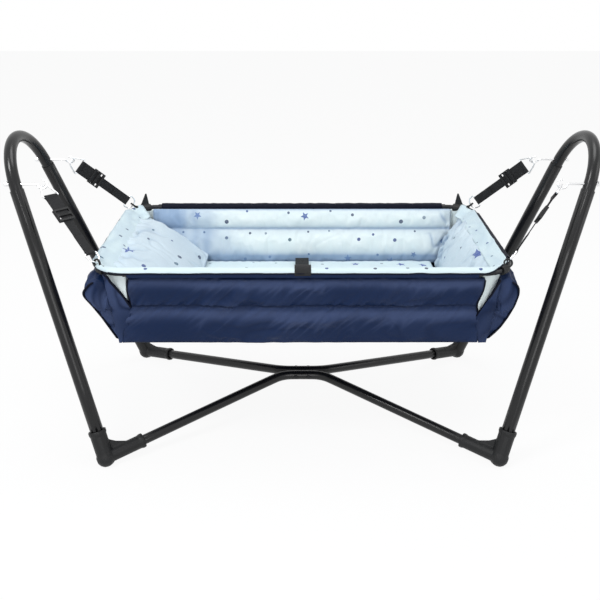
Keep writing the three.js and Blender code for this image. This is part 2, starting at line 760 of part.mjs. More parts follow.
// Plastic slider: a frame with a slot for the webbing and two windows beside its middle bar
function makeSlider(corner) {
  const frame = hangerFrame(corner);
  const middle = -TRIANGLE_BAR_DROP - SLIDER_FROM_BAR - SLIDER_LENGTH / 2;
  const half = SLIDER_LENGTH / 2;
  const soft = SLIDER_THICKNESS / 4;
  const thin = SLIDER_THICKNESS / 2;
  const outline = [
    [-thin + soft, -half], [thin - soft, -half], [thin, -half + soft], [thin, half - soft],
    [thin - soft, half], [-thin + soft, half], [-thin, half - soft], [-thin, -half + soft],
  ];
  const shape = new THREE.Shape(outline.map(([x, y]) => new THREE.Vector2(x, y + middle)));
  const body = webPiece(frame, shape, SLIDER_WIDTH);
  const slotWidth = STUB_WIDTH + 2 * SLIDER_SLOT_SIDE;
  const slot = localBox(frame, slotWidth, 2 * SLIDER_LENGTH, SLIDER_SLOT, 0, middle);
  const windows = [-1, 1].map((way) => {
    const shift = way * (half - SLIDER_EDGE - SLIDER_WINDOW / 2);
    const depth = SLIDER_THICKNESS;
    return localBox(frame, slotWidth - SLIDER_EDGE, SLIDER_WINDOW, depth, depth / 2, middle + shift);
  });
  return combine([body], [slot, ...windows]);
}

function railBendPoint(corner, share) {
  const turn = share * (Math.PI / 2);
  const x = corner.sx * (railStraightHalf + RAIL_CORNER * Math.sin(turn));
  const y = corner.sy * (RAIL_HALF_WIDTH - RAIL_CORNER + RAIL_CORNER * Math.cos(turn));
  return v3(x, y, RAIL_HEIGHT);
}

// Upright three-cornered ear on a rear tab
function makeEar(corner) {
  const low = railBendPoint(corner, earShares.low);
  const run = railBendPoint(corner, earShares.high).sub(low);
  const wide = run.length();
  const tip = ((earShares.tip - earShares.low) / (earShares.high - earShares.low)) * wide;
  const soft = EAR_THICKNESS / 2;
  const top = new THREE.Vector2(tip, EAR_HEIGHT);
  const outline = [new THREE.Vector2(0, 0), new THREE.Vector2(wide, 0), top.clone().add(new THREE.Vector2(soft, -soft)),
    top, top.clone().add(new THREE.Vector2(-soft, -soft))];
  const ear = new THREE.ExtrudeGeometry(new THREE.Shape(outline), { depth: EAR_THICKNESS, bevelEnabled: false });
  ear.translate(0, 0, -EAR_THICKNESS / 2);
  const lengthwise = run.normalize();
  const aside = lengthwise.clone().cross(v3(0, 0, 1));
  return ear.applyMatrix4(new THREE.Matrix4().makeBasis(lengthwise, v3(0, 0, 1), aside).setPosition(low));
}

// Plastic tab clipped round the bend of the rail, with an eye for the D ring
function makeTab(corner) {
  const frame = hangerFrame(corner);
  const seat = railCornerPoint(corner);
  const rear = corner.sy > 0;
  const play = rear ? REAR_PIVOT_GAP : FRONT_PIVOT_GAP;
  const eye = along(frame.bottom, frame.up, RING_WIRE + play - TAB_HOLE);
  const [first, last] = rear ? rearTabSpanShares : tabSpanShares;
  const span = Array.from({ length: 3 }, (_, i) => railBendPoint(corner, mix(first, last, i / 2)));
  const saddle = pipe(span, TAB_SADDLE_RADIUS, SMALL_SIDES);
  const thick = TAB_THICKNESS / 2;
  const disc = rodBetween(along(eye, frame.across, -thick), along(eye, frame.across, thick), TAB_EYE_RADIUS, SMALL_SIDES);
  const neck = rodBetween(seat, eye, TAB_NECK, WIRE_SIDES);
  const wide = 2 * TAB_EYE_RADIUS;
  const hole = rodBetween(along(eye, frame.across, -wide), along(eye, frame.across, wide), TAB_HOLE, SMALL_SIDES);
  const rail = pipe(endRailStations(corner.sx), END_RAIL_RADIUS + TAB_RAIL_CLEARANCE, SMALL_SIDES);
  return combine([saddle, disc, neck, ...(rear ? [makeEar(corner)] : [])], [hole, rail]);
}

// How full a padded board is at a place in it
function bandFullness(v, bands) {
  for (let i = 0; i + 1 < bands.length; i += 1) {
    if (v <= bands[i + 1] + MERGE) {
      const share = (v - bands[i]) / (bands[i + 1] - bands[i]);
      return Math.sqrt(Math.max(Math.sin(Math.PI * THREE.MathUtils.clamp(share, 0, 1)), 0));
    }
  }
  return 0;
}

function bandRows(bands) {
  const inner = [0, 0.1, 0.3, 0.5, 0.7, 0.9];
  const rows = [];
  for (let i = 0; i + 1 < bands.length; i += 1) {
    for (const share of inner) rows.push(mix(bands[i], bands[i + 1], share));
  }
  rows.push(1);
  return rows;
}

// A stitched board between four corners: full between its seams and thin at its rim
function paddedBoard(plan) {
  const columns = [0, 0.012, 0.05, 0.14, 0.28, 0.43, 0.57, 0.72, 0.86, 0.95, 0.988, 1];
  const rows = bandRows(plan.bands);
  const [topLeft, topRight, bottomLeft, bottomRight] = plan.corners;
  const down = bottomLeft.clone().sub(topLeft);
  const normal = topRight.clone().sub(topLeft).cross(down).normalize();
  const out = normal.multiplyScalar(Math.sign(normal.dot(plan.faces)));
  const grid = rows.map((v) => columns.map((u) => {
    const high = topLeft.clone().lerp(topRight, u);
    const low = bottomLeft.clone().lerp(bottomRight, u);
    const middle = high.lerp(low, v);
    const ends = Math.sqrt(Math.max(1 - Math.abs(2 * u - 1) ** 8, 0));
    const onSeam = plan.bands.some((seam) => seam > 0 && seam < 1 && Math.abs(seam - v) < MERGE);
    const [front, back] = [plan.crown, plan.back].map((crown) => {
      const full = onSeam ? Math.min(plan.seam, crown) - plan.edge : (crown - plan.edge) * bandFullness(v, plan.bands);
      return plan.edge + Math.max(full, 0) * ends;
    });
    return { middle, front, back };
  }));
  const places = [];
  const wide = columns.length;
  const tall = rows.length;
  for (const way of [1, -1]) {
    for (const row of grid) {
      for (const cell of row) {
        const point = along(cell.middle, out, way > 0 ? cell.front : -cell.back);
        places.push(point.x, point.y, point.z);
      }
    }
  }
  const order = [];
  const back = wide * tall;
  const quad = (a, b, c, d) => order.push(a, b, c, a, c, d);
  for (let r = 0; r + 1 < tall; r += 1) {
    for (let c = 0; c + 1 < wide; c += 1) {
      const a = r * wide + c;
      quad(a, a + wide, a + wide + 1, a + 1);
      quad(back + a, back + a + 1, back + a + wide + 1, back + a + wide);
    }
  }
  for (let c = 0; c + 1 < wide; c += 1) {
    const low = (tall - 1) * wide + c;
    quad(c, c + 1, back + c + 1, back + c);
    quad(low + 1, low, back + low, back + low + 1);
  }
  for (let r = 0; r + 1 < tall; r += 1) {
    const left = r * wide;
    const right = left + wide - 1;
    quad(left + wide, left, back + left, back + left + wide);
    quad(right, right + wide, back + right + wide, back + right);
  }
  const geometry = new THREE.BufferGeometry();
  geometry.setAttribute('position', new THREE.Float32BufferAttribute(places, 3));
  geometry.setIndex(order);
  return geometry;
}

function makeOuterPanel(sy) {
  const topY = sy * (RAIL_HALF_WIDTH - SLEEVE_GAP);
  const lowHalf = sleeveHalf + PANEL_FLARE;
  const board = paddedBoard({
    corners: [
      v3(-sleeveHalf, topY, panelTop),
      v3(sleeveHalf, topY, panelTop),
      v3(-lowHalf, sy * panelFootY, panelFoot),
      v3(lowHalf, sy * panelFootY, panelFoot),
    ],
    bands: [0, 0.42, 1],
    faces: v3(0, sy, 0),
    crown: PANEL_CROWN,
    back: PANEL_BACK,
    seam: PANEL_SEAM,
    edge: PANEL_EDGE,
  });
  const start = v3(-sleeveHalf, sy * RAIL_HALF_WIDTH, RAIL_HEIGHT);
  const end = v3(sleeveHalf, sy * RAIL_HALF_WIDTH, RAIL_HEIGHT);
  const beyond = v3(2 * SLEEVE_RADIUS, 0, 0);
  const sleeve = rodBetween(start, end, SLEEVE_RADIUS, PIPE_SIDES);
  const bore = RAIL_RADIUS + SLEEVE_GAP;
  const room = rodBetween(start.clone().sub(beyond), end.clone().add(beyond), bore, PIPE_SIDES);
  return combine([board, sleeve], [room]);
}

function wallX(share) {
  return wallFootX + share * WALL_DEPTH;
}

// End wall: a full wedge that hangs below the end rail from a narrow sleeve
function makeEndWall(sx) {
  const tall = wallTop - panelFoot;
  const line = [...wallOuterShares, ...wallInnerShares].map(([high, deep]) => [panelFoot + high * tall, wallX(deep)]);
  const centreX = line.reduce((total, [, x]) => total + x, 0) / line.length;
  const shape = new THREE.Shape(line.map(([z, x]) => new THREE.Vector2(x - centreX, z)));
  const lengthShares = [-1, -0.985, -0.93, -0.8, -0.4, 0, 0.4, 0.8, 0.93, 0.985, 1];
  const steps = lengthShares.length - 1;
  const wedge = new THREE.ExtrudeGeometry(shape, { depth: 1, steps, bevelEnabled: false });
  const place = wedge.attributes.position;
  for (let i = 0; i < place.count; i += 1) {
    const share = lengthShares[Math.round(place.getZ(i) * steps)];
    const pinch = 1 - 0.42 * Math.abs(share) ** 18;
    const height = place.getY(i);
    const rise = (height - panelFoot) / tall;
    const half = mix(panelFootY - WALL_FOOT_SHORT, RAIL_HALF_WIDTH - WALL_TOP_SHORT, rise);
    const x = sx * (centreX + place.getX(i) * pinch);
    const sunk = Math.abs(share) ** 10 * WALL_DRAW_IN * rise;
    place.setXYZ(i, x, share * half, height - sunk);
  }
  const rail = v3(sx * RAIL_HALF_LENGTH, 0, RAIL_HEIGHT);
  const reach = v3(0, endSleeveHalf, 0);
  const sleeve = rodBetween(rail.clone().sub(reach), rail.clone().add(reach), END_SLEEVE_RADIUS, SOCKET_SIDES);
  const room = pipe(endRailStations(sx), END_RAIL_RADIUS + SLEEVE_GAP, SOCKET_SIDES);
  return combine([wedge, sleeve], [room]);
}

function flatCorners(x, y, z) {
  return [v3(-x, y, z), v3(x, y, z), v3(-x, -y, z), v3(x, -y, z)];
}

function makeFloor() {
  return paddedBoard({
    corners: flatCorners(wallFootX - SEAT_GAP, panelFootY - PANEL_EDGE - SEAT_GAP, floorHeight),
    bands: [0, 1],
    faces: v3(0, 0, 1),
    crown: FLOOR_CROWN,
    back: FLOOR_CROWN,
    seam: PANEL_SEAM,
    edge: PANEL_EDGE,
  });
}

function makeSideLiner(sy) {
  const topHalf = RAIL_HALF_LENGTH - LINER_TOP_SHORT;
  const lowHalf = topHalf - LINER_TAPER;
  return paddedBoard({
    corners: [
      v3(-topHalf, sy * linerTopY, linerTop),
      v3(topHalf, sy * linerTopY, linerTop),
      v3(-lowHalf, sy * linerFootY, linerFoot),
      v3(lowHalf, sy * linerFootY, linerFoot),
    ],
    bands: [0, 0.36, 1],
    faces: v3(0, -sy, 0),
    crown: LINER_CROWN,
    back: LINER_BACK,
    seam: LINER_SEAM,
    edge: LINER_EDGE,
  });
}

function wallInnerX(height) {
  const rise = (height - panelFoot) / (wallTop - panelFoot);
  const above = wallInnerShares.findIndex(([high]) => high >= rise);
  const [highA, deepA] = wallInnerShares[above - 1];
  const [highB, deepB] = wallInnerShares[above];
  return wallX(mix(deepA, deepB, (rise - highA) / (highB - highA)));
}

// Where a sloping pad runs: the head pad comes down on the mattress, the foot pad stands at its end
function endPadPlan(sx) {
  const topZ = wallTop - PAD_TOP_DROP;
  const topX = wallInnerX(topZ - LINER_EDGE) - LINER_EDGE - PAD_SEAT_GAP;
  const onMattress = mattressHeight + MATTRESS_CROWN + LINER_EDGE + PAD_REST_GAP;
  const lowZ = sx < 0 ? onMattress : topZ - PAD_DEPTH;
  const run = sx < 0 ? HEAD_PAD_RUN : FOOT_PAD_RUN;
  return { topX, topZ, lowX: topX - run, lowZ };
}

function makeEndPad(sx) {
  const { topX, topZ, lowX, lowZ } = endPadPlan(sx);
  const topHalf = linerTopY - LINER_CROWN - PAD_SIDE_GAP;
  const lowLiner = mix(linerFootY, linerTopY, (lowZ - linerFoot) / LINER_DEPTH);
  const lowHalf = lowLiner - LINER_CROWN - SEAT_GAP;
  return paddedBoard({
    corners: [
      v3(sx * topX, -topHalf, topZ),
      v3(sx * topX, topHalf, topZ),
      v3(sx * lowX, -lowHalf, lowZ),
      v3(sx * lowX, lowHalf, lowZ),
    ],
    bands: [0, 1],
    faces: v3(-sx, 0, 1),
    crown: PAD_CROWN,
    back: PAD_BACK,
    seam: LINER_SEAM,
    edge: LINER_EDGE,
  });
}

function makeMattress() {
  const half = endPadPlan(1).lowX - MATTRESS_END_GAP;
  return paddedBoard({
    corners: flatCorners(half, linerFootY - MATTRESS_SIDE_GAP, mattressHeight),
    bands: [0, 1],
    faces: v3(0, 0, 1),
    crown: MATTRESS_CROWN,
    back: MATTRESS_CROWN,
    seam: MATTRESS_EDGE,
    edge: MATTRESS_EDGE,
  });
}

// Belt over the mattress, up the front lining and over the front rim
function beltRoute() {
  const room = BELT_CLEARANCE + BELT_THICKNESS / 2;
  const high = mattressHeight + MATTRESS_CROWN + room;
  const back = linerFootY - LINER_CROWN - BELT_TURN;
  const top = RAIL_HEIGHT + SLEEVE_RADIUS + room;
  const front = RAIL_HALF_WIDTH + SLEEVE_RADIUS + room;
  const inner = linerTopY - LINER_CROWN - room - BELT_STAND;
  const route = [
    [back, high],
    [-back + BELT_TURN / 2, high],
    [-back - BELT_TURN / 4, high + BELT_TURN / 2],
    [-inner, linerTop - BELT_TURN],
    [-inner - BELT_TURN / 4, top - BELT_TURN / 4],
    [-inner - BELT_TURN, top],
    [-front + BELT_TURN / 2, top],
    [-front, RAIL_HEIGHT + SLEEVE_RADIUS / 3],
    [-front, RAIL_HEIGHT - BELT_TAIL / 2],
    [-front, RAIL_HEIGHT - BELT_TAIL],
  ];
  return route.map(([y, z]) => new THREE.Vector2(y, z));
}

function ribbonOutline(route, thickness) {
  const near = [];
  const far = [];
  for (let i = 0; i < route.length; i += 1) {
    const before = route[Math.max(i - 1, 0)];
    const after = route[Math.min(i + 1, route.length - 1)];
    const run = after.clone().sub(before).normalize();
    const aside = new THREE.Vector2(-run.y, run.x).multiplyScalar(thickness / 2);
    near.push(route[i].clone().add(aside));
    far.unshift(route[i].clone().sub(aside));
  }
  return [...near, ...far];
}

function makeBelt() {
  const shape = new THREE.Shape(ribbonOutline(beltRoute(), BELT_THICKNESS));
  const belt = new THREE.ExtrudeGeometry(shape, { depth: BELT_WIDTH, bevelEnabled: false });
  belt.translate(0, 0, -BELT_WIDTH / 2);
  return belt.applyMatrix4(new THREE.Matrix4().makeBasis(v3(0, 1, 0), v3(0, 0, 1), v3(1, 0, 0)));
}

const cradle = new THREE.Group();
cradle.name = 'hanging_cradle';

function addPiece(name, geometry, finish) {
  const ready = closed(geometry);
  ready.computeVertexNormals();
  const mesh = new THREE.Mesh(ready, new THREE.MeshStandardMaterial(finishes[finish]));
  mesh.name = name;
  cradle.add(mesh);
}

for (const end of ends) {
  addPiece(`${end.name}_arch`, makeArch(end.sx), 'tube');
  addPiece(`${end.name}_centre_bolt`, makeCentreBolt(end.sx), 'chrome');
  addPiece(`${end.name}_centre_nut`, makeCentreNut(end.sx), 'chrome');
  addPiece(`${end.name}_end_rail`, makeEndRail(end.sx), 'rail');
  addPiece(`${end.name}_end_wall`, makeEndWall(end.sx), 'navy');
  addPiece(`${end.name}_end_pad`, makeEndPad(end.sx), 'liner');
}
for (const side of sides) {
  addPiece(`${side.name}_base_tube`, makeBaseTube(side.sy), 'tube');
  addPiece(`${side.name}_rail`, makeSideRail(side.sy), 'rail');
  addPiece(`${side.name}_panel`, makeOuterPanel(side.sy), 'navy');
  addPiece(`${side.name}_liner`, makeSideLiner(side.sy), 'liner');
}
for (const corner of corners) {
  addPiece(`${corner.name}_leg`, makeLeg(corner), 'tube');
  addPiece(`${corner.name}_elbow`, makeElbow(corner), 'plastic');
  addPiece(`${corner.name}_hook`, makeHook(corner), 'chrome');
  addPiece(`${corner.name}_hook_nut`, makeHookNut(corner), 'chrome');
  addPiece(`${corner.name}_triangle_ring`, makeTriangleRing(corner), 'chrome');
  addPiece(`${corner.name}_strap`, makeStrap(corner), 'web');
  addPiece(`${corner.name}_slider`, makeSlider(corner), 'plastic');
  addPiece(`${corner.name}_d_ring`, makeDRing(corner), 'chrome');
  addPiece(`${corner.name}_tab`, makeTab(corner), 'plastic');
}
addPiece('floor_panel', makeFloor(), 'navy');
addPiece('mattress', makeMattress(), 'liner');
addPiece('belt', makeBelt(), 'web');

export default cradle;
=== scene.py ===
import bpy
import bmesh
import json
import math
import numpy as np
from mathutils import Matrix, Vector, noise

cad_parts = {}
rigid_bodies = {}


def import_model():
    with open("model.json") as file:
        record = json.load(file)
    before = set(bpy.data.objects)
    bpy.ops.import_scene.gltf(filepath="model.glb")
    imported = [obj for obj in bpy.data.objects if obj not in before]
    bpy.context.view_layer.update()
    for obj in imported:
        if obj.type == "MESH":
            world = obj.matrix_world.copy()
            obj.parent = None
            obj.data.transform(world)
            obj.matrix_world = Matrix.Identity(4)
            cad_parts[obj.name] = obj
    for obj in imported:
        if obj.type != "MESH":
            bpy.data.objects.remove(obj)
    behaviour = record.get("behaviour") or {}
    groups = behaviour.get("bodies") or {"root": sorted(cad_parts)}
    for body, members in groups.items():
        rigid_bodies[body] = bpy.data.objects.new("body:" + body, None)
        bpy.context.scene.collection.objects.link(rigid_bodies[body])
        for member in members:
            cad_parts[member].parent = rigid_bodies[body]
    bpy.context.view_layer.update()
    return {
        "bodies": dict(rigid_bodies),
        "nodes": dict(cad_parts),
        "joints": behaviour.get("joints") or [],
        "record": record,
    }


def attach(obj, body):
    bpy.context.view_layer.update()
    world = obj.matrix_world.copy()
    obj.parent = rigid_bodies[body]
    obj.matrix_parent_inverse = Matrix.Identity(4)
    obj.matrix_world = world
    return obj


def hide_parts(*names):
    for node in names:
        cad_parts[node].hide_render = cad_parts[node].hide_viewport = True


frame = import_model()
nodes = frame["nodes"]
scene = bpy.context.scene
scene.view_settings.view_transform = "Standard"
print("frame loaded:", len(nodes), "nodes")

cornerSigns = {"left_front": (-1, -1), "right_front": (1, -1), "left_rear": (-1, 1), "right_rear": (1, 1)}
endSigns = {"left": -1, "right": 1}
sideSigns = {"front": -1, "rear": 1}


def addObject(name, data):
    made = bpy.data.objects.new(name, data)
    scene.collection.objects.link(made)
    return made


def meshFrom(made, name):
    mesh = bpy.data.meshes.new(name)
    made.to_mesh(mesh)
    made.free()
    return mesh


def addNode(tree, kind, **settings):
    node = tree.nodes.new(kind)
    for key, value in settings.items():
        setattr(node, key, value)
    return node


def feed(tree, node, values):  # an output is linked to its socket, and anything else is set on the socket
    for title, value in values.items():
        if isinstance(value, bpy.types.NodeSocket):
            tree.links.new(value, node.inputs[title])
        else:
            node.inputs[title].default_value = value
    return node


def calc(tree, operation, first, second=None):
    values = {0: first} if second is None else {0: first, 1: second}
    return feed(tree, addNode(tree, "ShaderNodeMath", operation=operation), values).outputs[0]


def times(tree, first, second):
    return calc(tree, "MULTIPLY", first, second)


def calcVector(tree, operation, values):
    return feed(tree, addNode(tree, "ShaderNodeVectorMath", operation=operation), values).outputs[0]


# camera, floor and light

photoCamera = {"place": (-0.009, -1.9812, 1.1792), "tilt": 66.61, "turn": -0.086, "lens": 48.09,
               "sensor": 36, "near": 0.05, "far": 60}
studio = {
    "white": (1, 1, 1, 1), "ambient": 0.47, "ambientColour": (0.97, 0.985, 1, 1),
    "floorColour": (0.95, 0.953, 0.957, 1), "floorGlow": 0.92, "floorSize": 9, "floorHeight": -0.0004,
    "aim": (0, 0, 0.42),
    "lamps": [  # name, place, size, watts
        ("keyLamp", (-1.5, -1.3, 2.7), 1.0, 36),
        ("topLamp", (0.4, 0.2, 3.0), 1.6, 28),
        ("sideLamp", (2.6, -0.9, 1.7), 1.4, 9),
        ("faceLamp", (0.2, -3.0, 1.2), 1.4, 18),
    ],
}


def addCamera(settings):
    data = bpy.data.cameras.new("photoCamera")
    data.lens = settings["lens"]
    data.sensor_width = settings["sensor"]
    data.clip_start = settings["near"]
    data.clip_end = settings["far"]
    camera = addObject("photoCamera", data)
    camera.location = settings["place"]
    camera.rotation_euler = (math.radians(settings["tilt"]), 0, math.radians(settings["turn"]))
    scene.camera = camera


def seenShare(tree):  # 1 where a surface is looked at, plainly, in a gloss or through a clear piece
    rays = addNode(tree, "ShaderNodeLightPath").outputs
    plain = calc(tree, "MAXIMUM", rays["Is Camera Ray"], rays["Is Glossy Ray"])
    return calc(tree, "MAXIMUM", plain, rays["Is Transmission Ray"])


def mixSurface(tree, outputKind, share, first, second):
    mix = addNode(tree, "ShaderNodeMixShader")
    feed(tree, mix, {0: share, 1: first.outputs[0], 2: second.outputs[0]})
    feed(tree, addNode(tree, outputKind), {"Surface": mix.outputs[0]})


def addWorld(settings):
    world = bpy.data.worlds.new("studioWorld")
    scene.world = world
    world.use_nodes = True
    tree = world.node_tree
    tree.nodes.clear()
    ambient = addNode(tree, "ShaderNodeBackground")
    feed(tree, ambient, {"Color": settings["ambientColour"], "Strength": settings["ambient"]})
    seen = feed(tree, addNode(tree, "ShaderNodeBackground"), {"Color": settings["white"]})
    mixSurface(tree, "ShaderNodeOutputWorld", seenShare(tree), ambient, seen)


def addFloor(settings):
    made = bmesh.new()
    bmesh.ops.create_grid(made, x_segments=1, y_segments=1, size=settings["floorSize"])
    floor = addObject("floor", meshFrom(made, "floor"))
    floor.location.z = settings["floorHeight"]
    material = bpy.data.materials.new("paleFloor")
    material.use_nodes = True
    tree = material.node_tree
    tree.nodes.clear()
    matt = feed(tree, addNode(tree, "ShaderNodeBsdfDiffuse"), {"Color": settings["floorColour"]})
    white = feed(tree, addNode(tree, "ShaderNodeEmission"), {"Color": settings["white"]})
    share = times(tree, seenShare(tree), settings["floorGlow"])
    mixSurface(tree, "ShaderNodeOutputMaterial", share, matt, white)
    floor.data.materials.append(material)


def addLamps(settings):
    for name, place, size, watts in settings["lamps"]:
        data = bpy.data.lights.new(name, "AREA")
        data.shape = "DISK"
        data.size = size
        data.energy = watts
        lamp = addObject(name, data)
        lamp.location = place
        lamp.rotation_euler = (Vector(settings["aim"]) - Vector(place)).to_track_quat("-Z", "Y").to_euler()


addCamera(photoCamera)
addWorld(studio)
addFloor(studio)
addLamps(studio)
print("stage ready")

# effect groups that several materials share


def newGroup(name, numbers, outputs):  # a vector and named numbers go in, masks and colours come out
    group = bpy.data.node_groups.new(name, "ShaderNodeTree")
    group.interface.new_socket(name="Vector", in_out="INPUT", socket_type="NodeSocketVector")
    for title, value in numbers.items():
        made = group.interface.new_socket(name=title, in_out="INPUT", socket_type="NodeSocketFloat")
        made.default_value = value
    for title in outputs:
        kind = "NodeSocketColor" if title == "Colour" else "NodeSocketFloat"
        group.interface.new_socket(name=title, in_out="OUTPUT", socket_type=kind)
    return group, addNode(group, "NodeGroupInput").outputs, addNode(group, "NodeGroupOutput")


def scaledNoise(tree, vector, scale, detail=3, rough=0.55):
    values = {"Vector": vector, "Scale": scale, "Detail": detail, "Roughness": rough}
    return feed(tree, addNode(tree, "ShaderNodeTexNoise"), values).outputs["Fac"]


def ranged(tree, value, low, high, newLow, newHigh):
    values = {"Value": value, "From Min": low, "From Max": high, "To Min": newLow, "To Max": newHigh}
    return feed(tree, addNode(tree, "ShaderNodeMapRange", clamp=True), values).outputs["Result"]


def mixColour(tree, share, first, second, blend="MIX"):
    node = addNode(tree, "ShaderNodeMix", data_type="RGBA", blend_type=blend)
    return feed(tree, node, {0: share, 6: first, 7: second}).outputs[2]


def ridges(tree, place, rate):  # 0 in each groove and 1 on each thread
    return calc(tree, "ABSOLUTE", calc(tree, "SINE", times(tree, place, rate)))


variation = {"stretch": (1, 1, 0.22), "scratchScale": 160, "scratchDetail": (6, 0.7),
             "scratchRange": (0.64, 0.74)}
weavePlan = {"slubScale": 420, "lowShade": 0.86}
printPlan = {
    "scatter": 0.62, "sizes": (0.55, 1.15), "notch": 0.45, "dot": 0.36, "bareFrom": 0.86, "turns": 6.283,
    "starInk": (0.045, 0.09, 0.42, 1), "starInkShare": 0.75,
    "inks": [(0.0, (0.03, 0.06, 0.24, 1)), (0.25, (0.02, 0.03, 0.085, 1)), (0.5, (0.07, 0.15, 0.2, 1)),
             (0.68, (0.035, 0.05, 0.12, 1)), (0.86, (0.22, 0.29, 0.36, 1))],
}


def makeSurfaceVariation(plan):  # slow change of tone and gloss, fine grain and drawn-out scuffs
    numbers = {"Broad Scale": 14.0, "Grain Scale": 1400.0}
    group, inside, out = newGroup("surfaceVariation", numbers, ("Broad", "Grain", "Scuffs"))
    vector = inside["Vector"]
    stretched = calcVector(group, "MULTIPLY", {0: vector, 1: plan["stretch"]})
    scratch = scaledNoise(group, stretched, plan["scratchScale"], *plan["scratchDetail"])
    feed(group, out, {"Broad": scaledNoise(group, vector, inside["Broad Scale"], 4),
                      "Grain": scaledNoise(group, vector, inside["Grain Scale"], 2),
                      "Scuffs": ranged(group, scratch, *plan["scratchRange"], 0.0, 1.0)})
    return group


def makeWeave(plan):  # crossed threads on the piece's own UV, in metres
    numbers = {"Threads per Metre": 900.0, "Slub": 0.3}
    group, inside, out = newGroup("clothWeave", numbers, ("Height", "Shade"))
    x, y, _ = feed(group, addNode(group, "ShaderNodeSeparateXYZ"), {0: inside["Vector"]}).outputs
    rate = times(group, inside["Threads per Metre"], math.pi)
    woven = times(group, ridges(group, x, rate), ridges(group, y, rate))
    uneven = times(group, scaledNoise(group, inside["Vector"], plan["slubScale"]), inside["Slub"])
    feed(group, out, {"Height": calc(group, "ADD", woven, uneven),
                      "Shade": ranged(group, woven, 0.0, 1.0, plan["lowShade"], 1.0)})
    return group


def makeStarPrint(plan):  # dots and five-point stars scattered in cells, in metres of cloth
    numbers = {"Cells per Metre": 15.0, "Star Share": 0.3, "Size": 0.22, "Offset": 0.0}
    group, inside, out = newGroup("starPrint", numbers, ("Mask", "Colour"))
    scaled = calcVector(group, "SCALE", {0: inside["Vector"], "Scale": inside["Cells per Metre"]})
    shifted = calcVector(group, "ADD", {0: scaled, 1: inside["Offset"]})
    cells = addNode(group, "ShaderNodeTexVoronoi", voronoi_dimensions="2D", feature="F1")
    feed(group, cells, {"Vector": shifted, "Scale": 1, "Randomness": plan["scatter"]})
    offset = calcVector(group, "SUBTRACT", {0: shifted, 1: cells.outputs["Position"]})
    x, y, _ = feed(group, addNode(group, "ShaderNodeSeparateXYZ"), {0: offset}).outputs
    chances = feed(group, addNode(group, "ShaderNodeSeparateColor"), {0: cells.outputs["Color"]}).outputs
    kind, grade, twist = chances
    distance = calc(group, "SQRT", calc(group, "ADD", times(group, x, x), times(group, y, y)))
    turned = calc(group, "ADD", calc(group, "ARCTAN2", y, x), times(group, twist, plan["turns"]))
    halfTip = math.pi / 5
    folded = calc(group, "PINGPONG", turned, halfTip)
    tipward = times(group, distance, calc(group, "COSINE", folded))
    sideward = times(group, distance, calc(group, "SINE", folded))
    size = times(group, inside["Size"], ranged(group, grade, 0.0, 1.0, *plan["sizes"]))
    notchX, notchY = plan["notch"] * math.cos(halfTip), plan["notch"] * math.sin(halfTip)
    edge = calc(group, "ADD", times(group, calc(group, "SUBTRACT", tipward, size), notchY),
                times(group, sideward, 1 - notchX))
    star = calc(group, "LESS_THAN", edge, 0.0)
    dot = calc(group, "LESS_THAN", distance, times(group, size, plan["dot"]))
    isStar = calc(group, "LESS_THAN", kind, inside["Star Share"])
    isBare = calc(group, "GREATER_THAN", kind, plan["bareFrom"])
    isDot = calc(group, "SUBTRACT", 1.0, isStar)
    chosen = calc(group, "ADD", times(group, star, isStar), times(group, dot, isDot))
    mask = times(group, chosen, calc(group, "SUBTRACT", 1.0, isBare))
    ramp = feed(group, addNode(group, "ShaderNodeValToRGB"), {0: twist})
    stops = ramp.color_ramp.elements
    ramp.color_ramp.interpolation = "CONSTANT"
    while len(stops) < len(plan["inks"]):
        stops.new(0.5)
    for stop, (share, ink) in zip(stops, plan["inks"]):
        stop.position = share
        stop.color = ink
    starShare = times(group, isStar, plan["starInkShare"])
    feed(group, out, {"Mask": mask, "Colour": mixColour(group, starShare, ramp.outputs[0], plan["starInk"])})
    return group


surfaceVariation = makeSurfaceVariation(variation)
clothWeave = makeWeave(weavePlan)
starPrint = makeStarPrint(printPlan)


def newMaterial(name):
    material = bpy.data.materials.new(name)
    material.use_nodes = True
    return material, material.node_tree, material.node_tree.nodes["Principled BSDF"]


def placeGroup(tree, group, vector, values):
    node = addNode(tree, "ShaderNodeGroup", node_tree=group)
    return feed(tree, node, {"Vector": vector, **values}).outputs


def addBumps(tree, shader, *layers):  # each layer is a height, its strength and its depth in metres
    normal = None
    for height, strength, depth in layers:
        bump = addNode(tree, "ShaderNodeBump")
        feed(tree, bump, {"Height": height, "Strength": strength, "Distance": depth})
        if normal is not None:
            feed(tree, bump, {"Normal": normal})
        normal = bump.outputs["Normal"]
    feed(tree, shader, {"Normal": normal})


grainSpan = (0.3, 0.7)  # the part of a noise that reaches from one roughness to the other
hardBasics = {"metallic": 0.0, "coat": 0.0, "coatRough": 0.15, "specular": 0.3, "broad": 11.0,
              "lighter": 1.5, "marks": 0.35, "markedRough": 0.12, "bump": 0.6}
hardFinishes = {  # grain in bumps per metre, depth in metres
    "tubePaint": {"colour": (0.0062, 0.0064, 0.007, 1), "scuffed": (0.03, 0.03, 0.032, 1),
                  "rough": (0.22, 0.38), "coat": 0.12, "grain": 700, "depth": 0.00006},
    "mouldedPlastic": {"colour": (0.0095, 0.0099, 0.0106, 1), "scuffed": (0.03, 0.03, 0.032, 1),
                       "rough": (0.42, 0.6), "grain": 1600, "depth": 0.00012},
    "brightPlate": {"colour": (0.78, 0.79, 0.81, 1), "scuffed": (0.6, 0.6, 0.62, 1), "rough": (0.08, 0.24),
                    "metallic": 1.0, "specular": 0.5, "grain": 900, "depth": 0.00002},
    "railPaint": {"colour": (0.009, 0.0095, 0.012, 1), "scuffed": (0.03, 0.03, 0.034, 1),
                  "rough": (0.28, 0.44), "grain": 800, "depth": 0.00005},
}


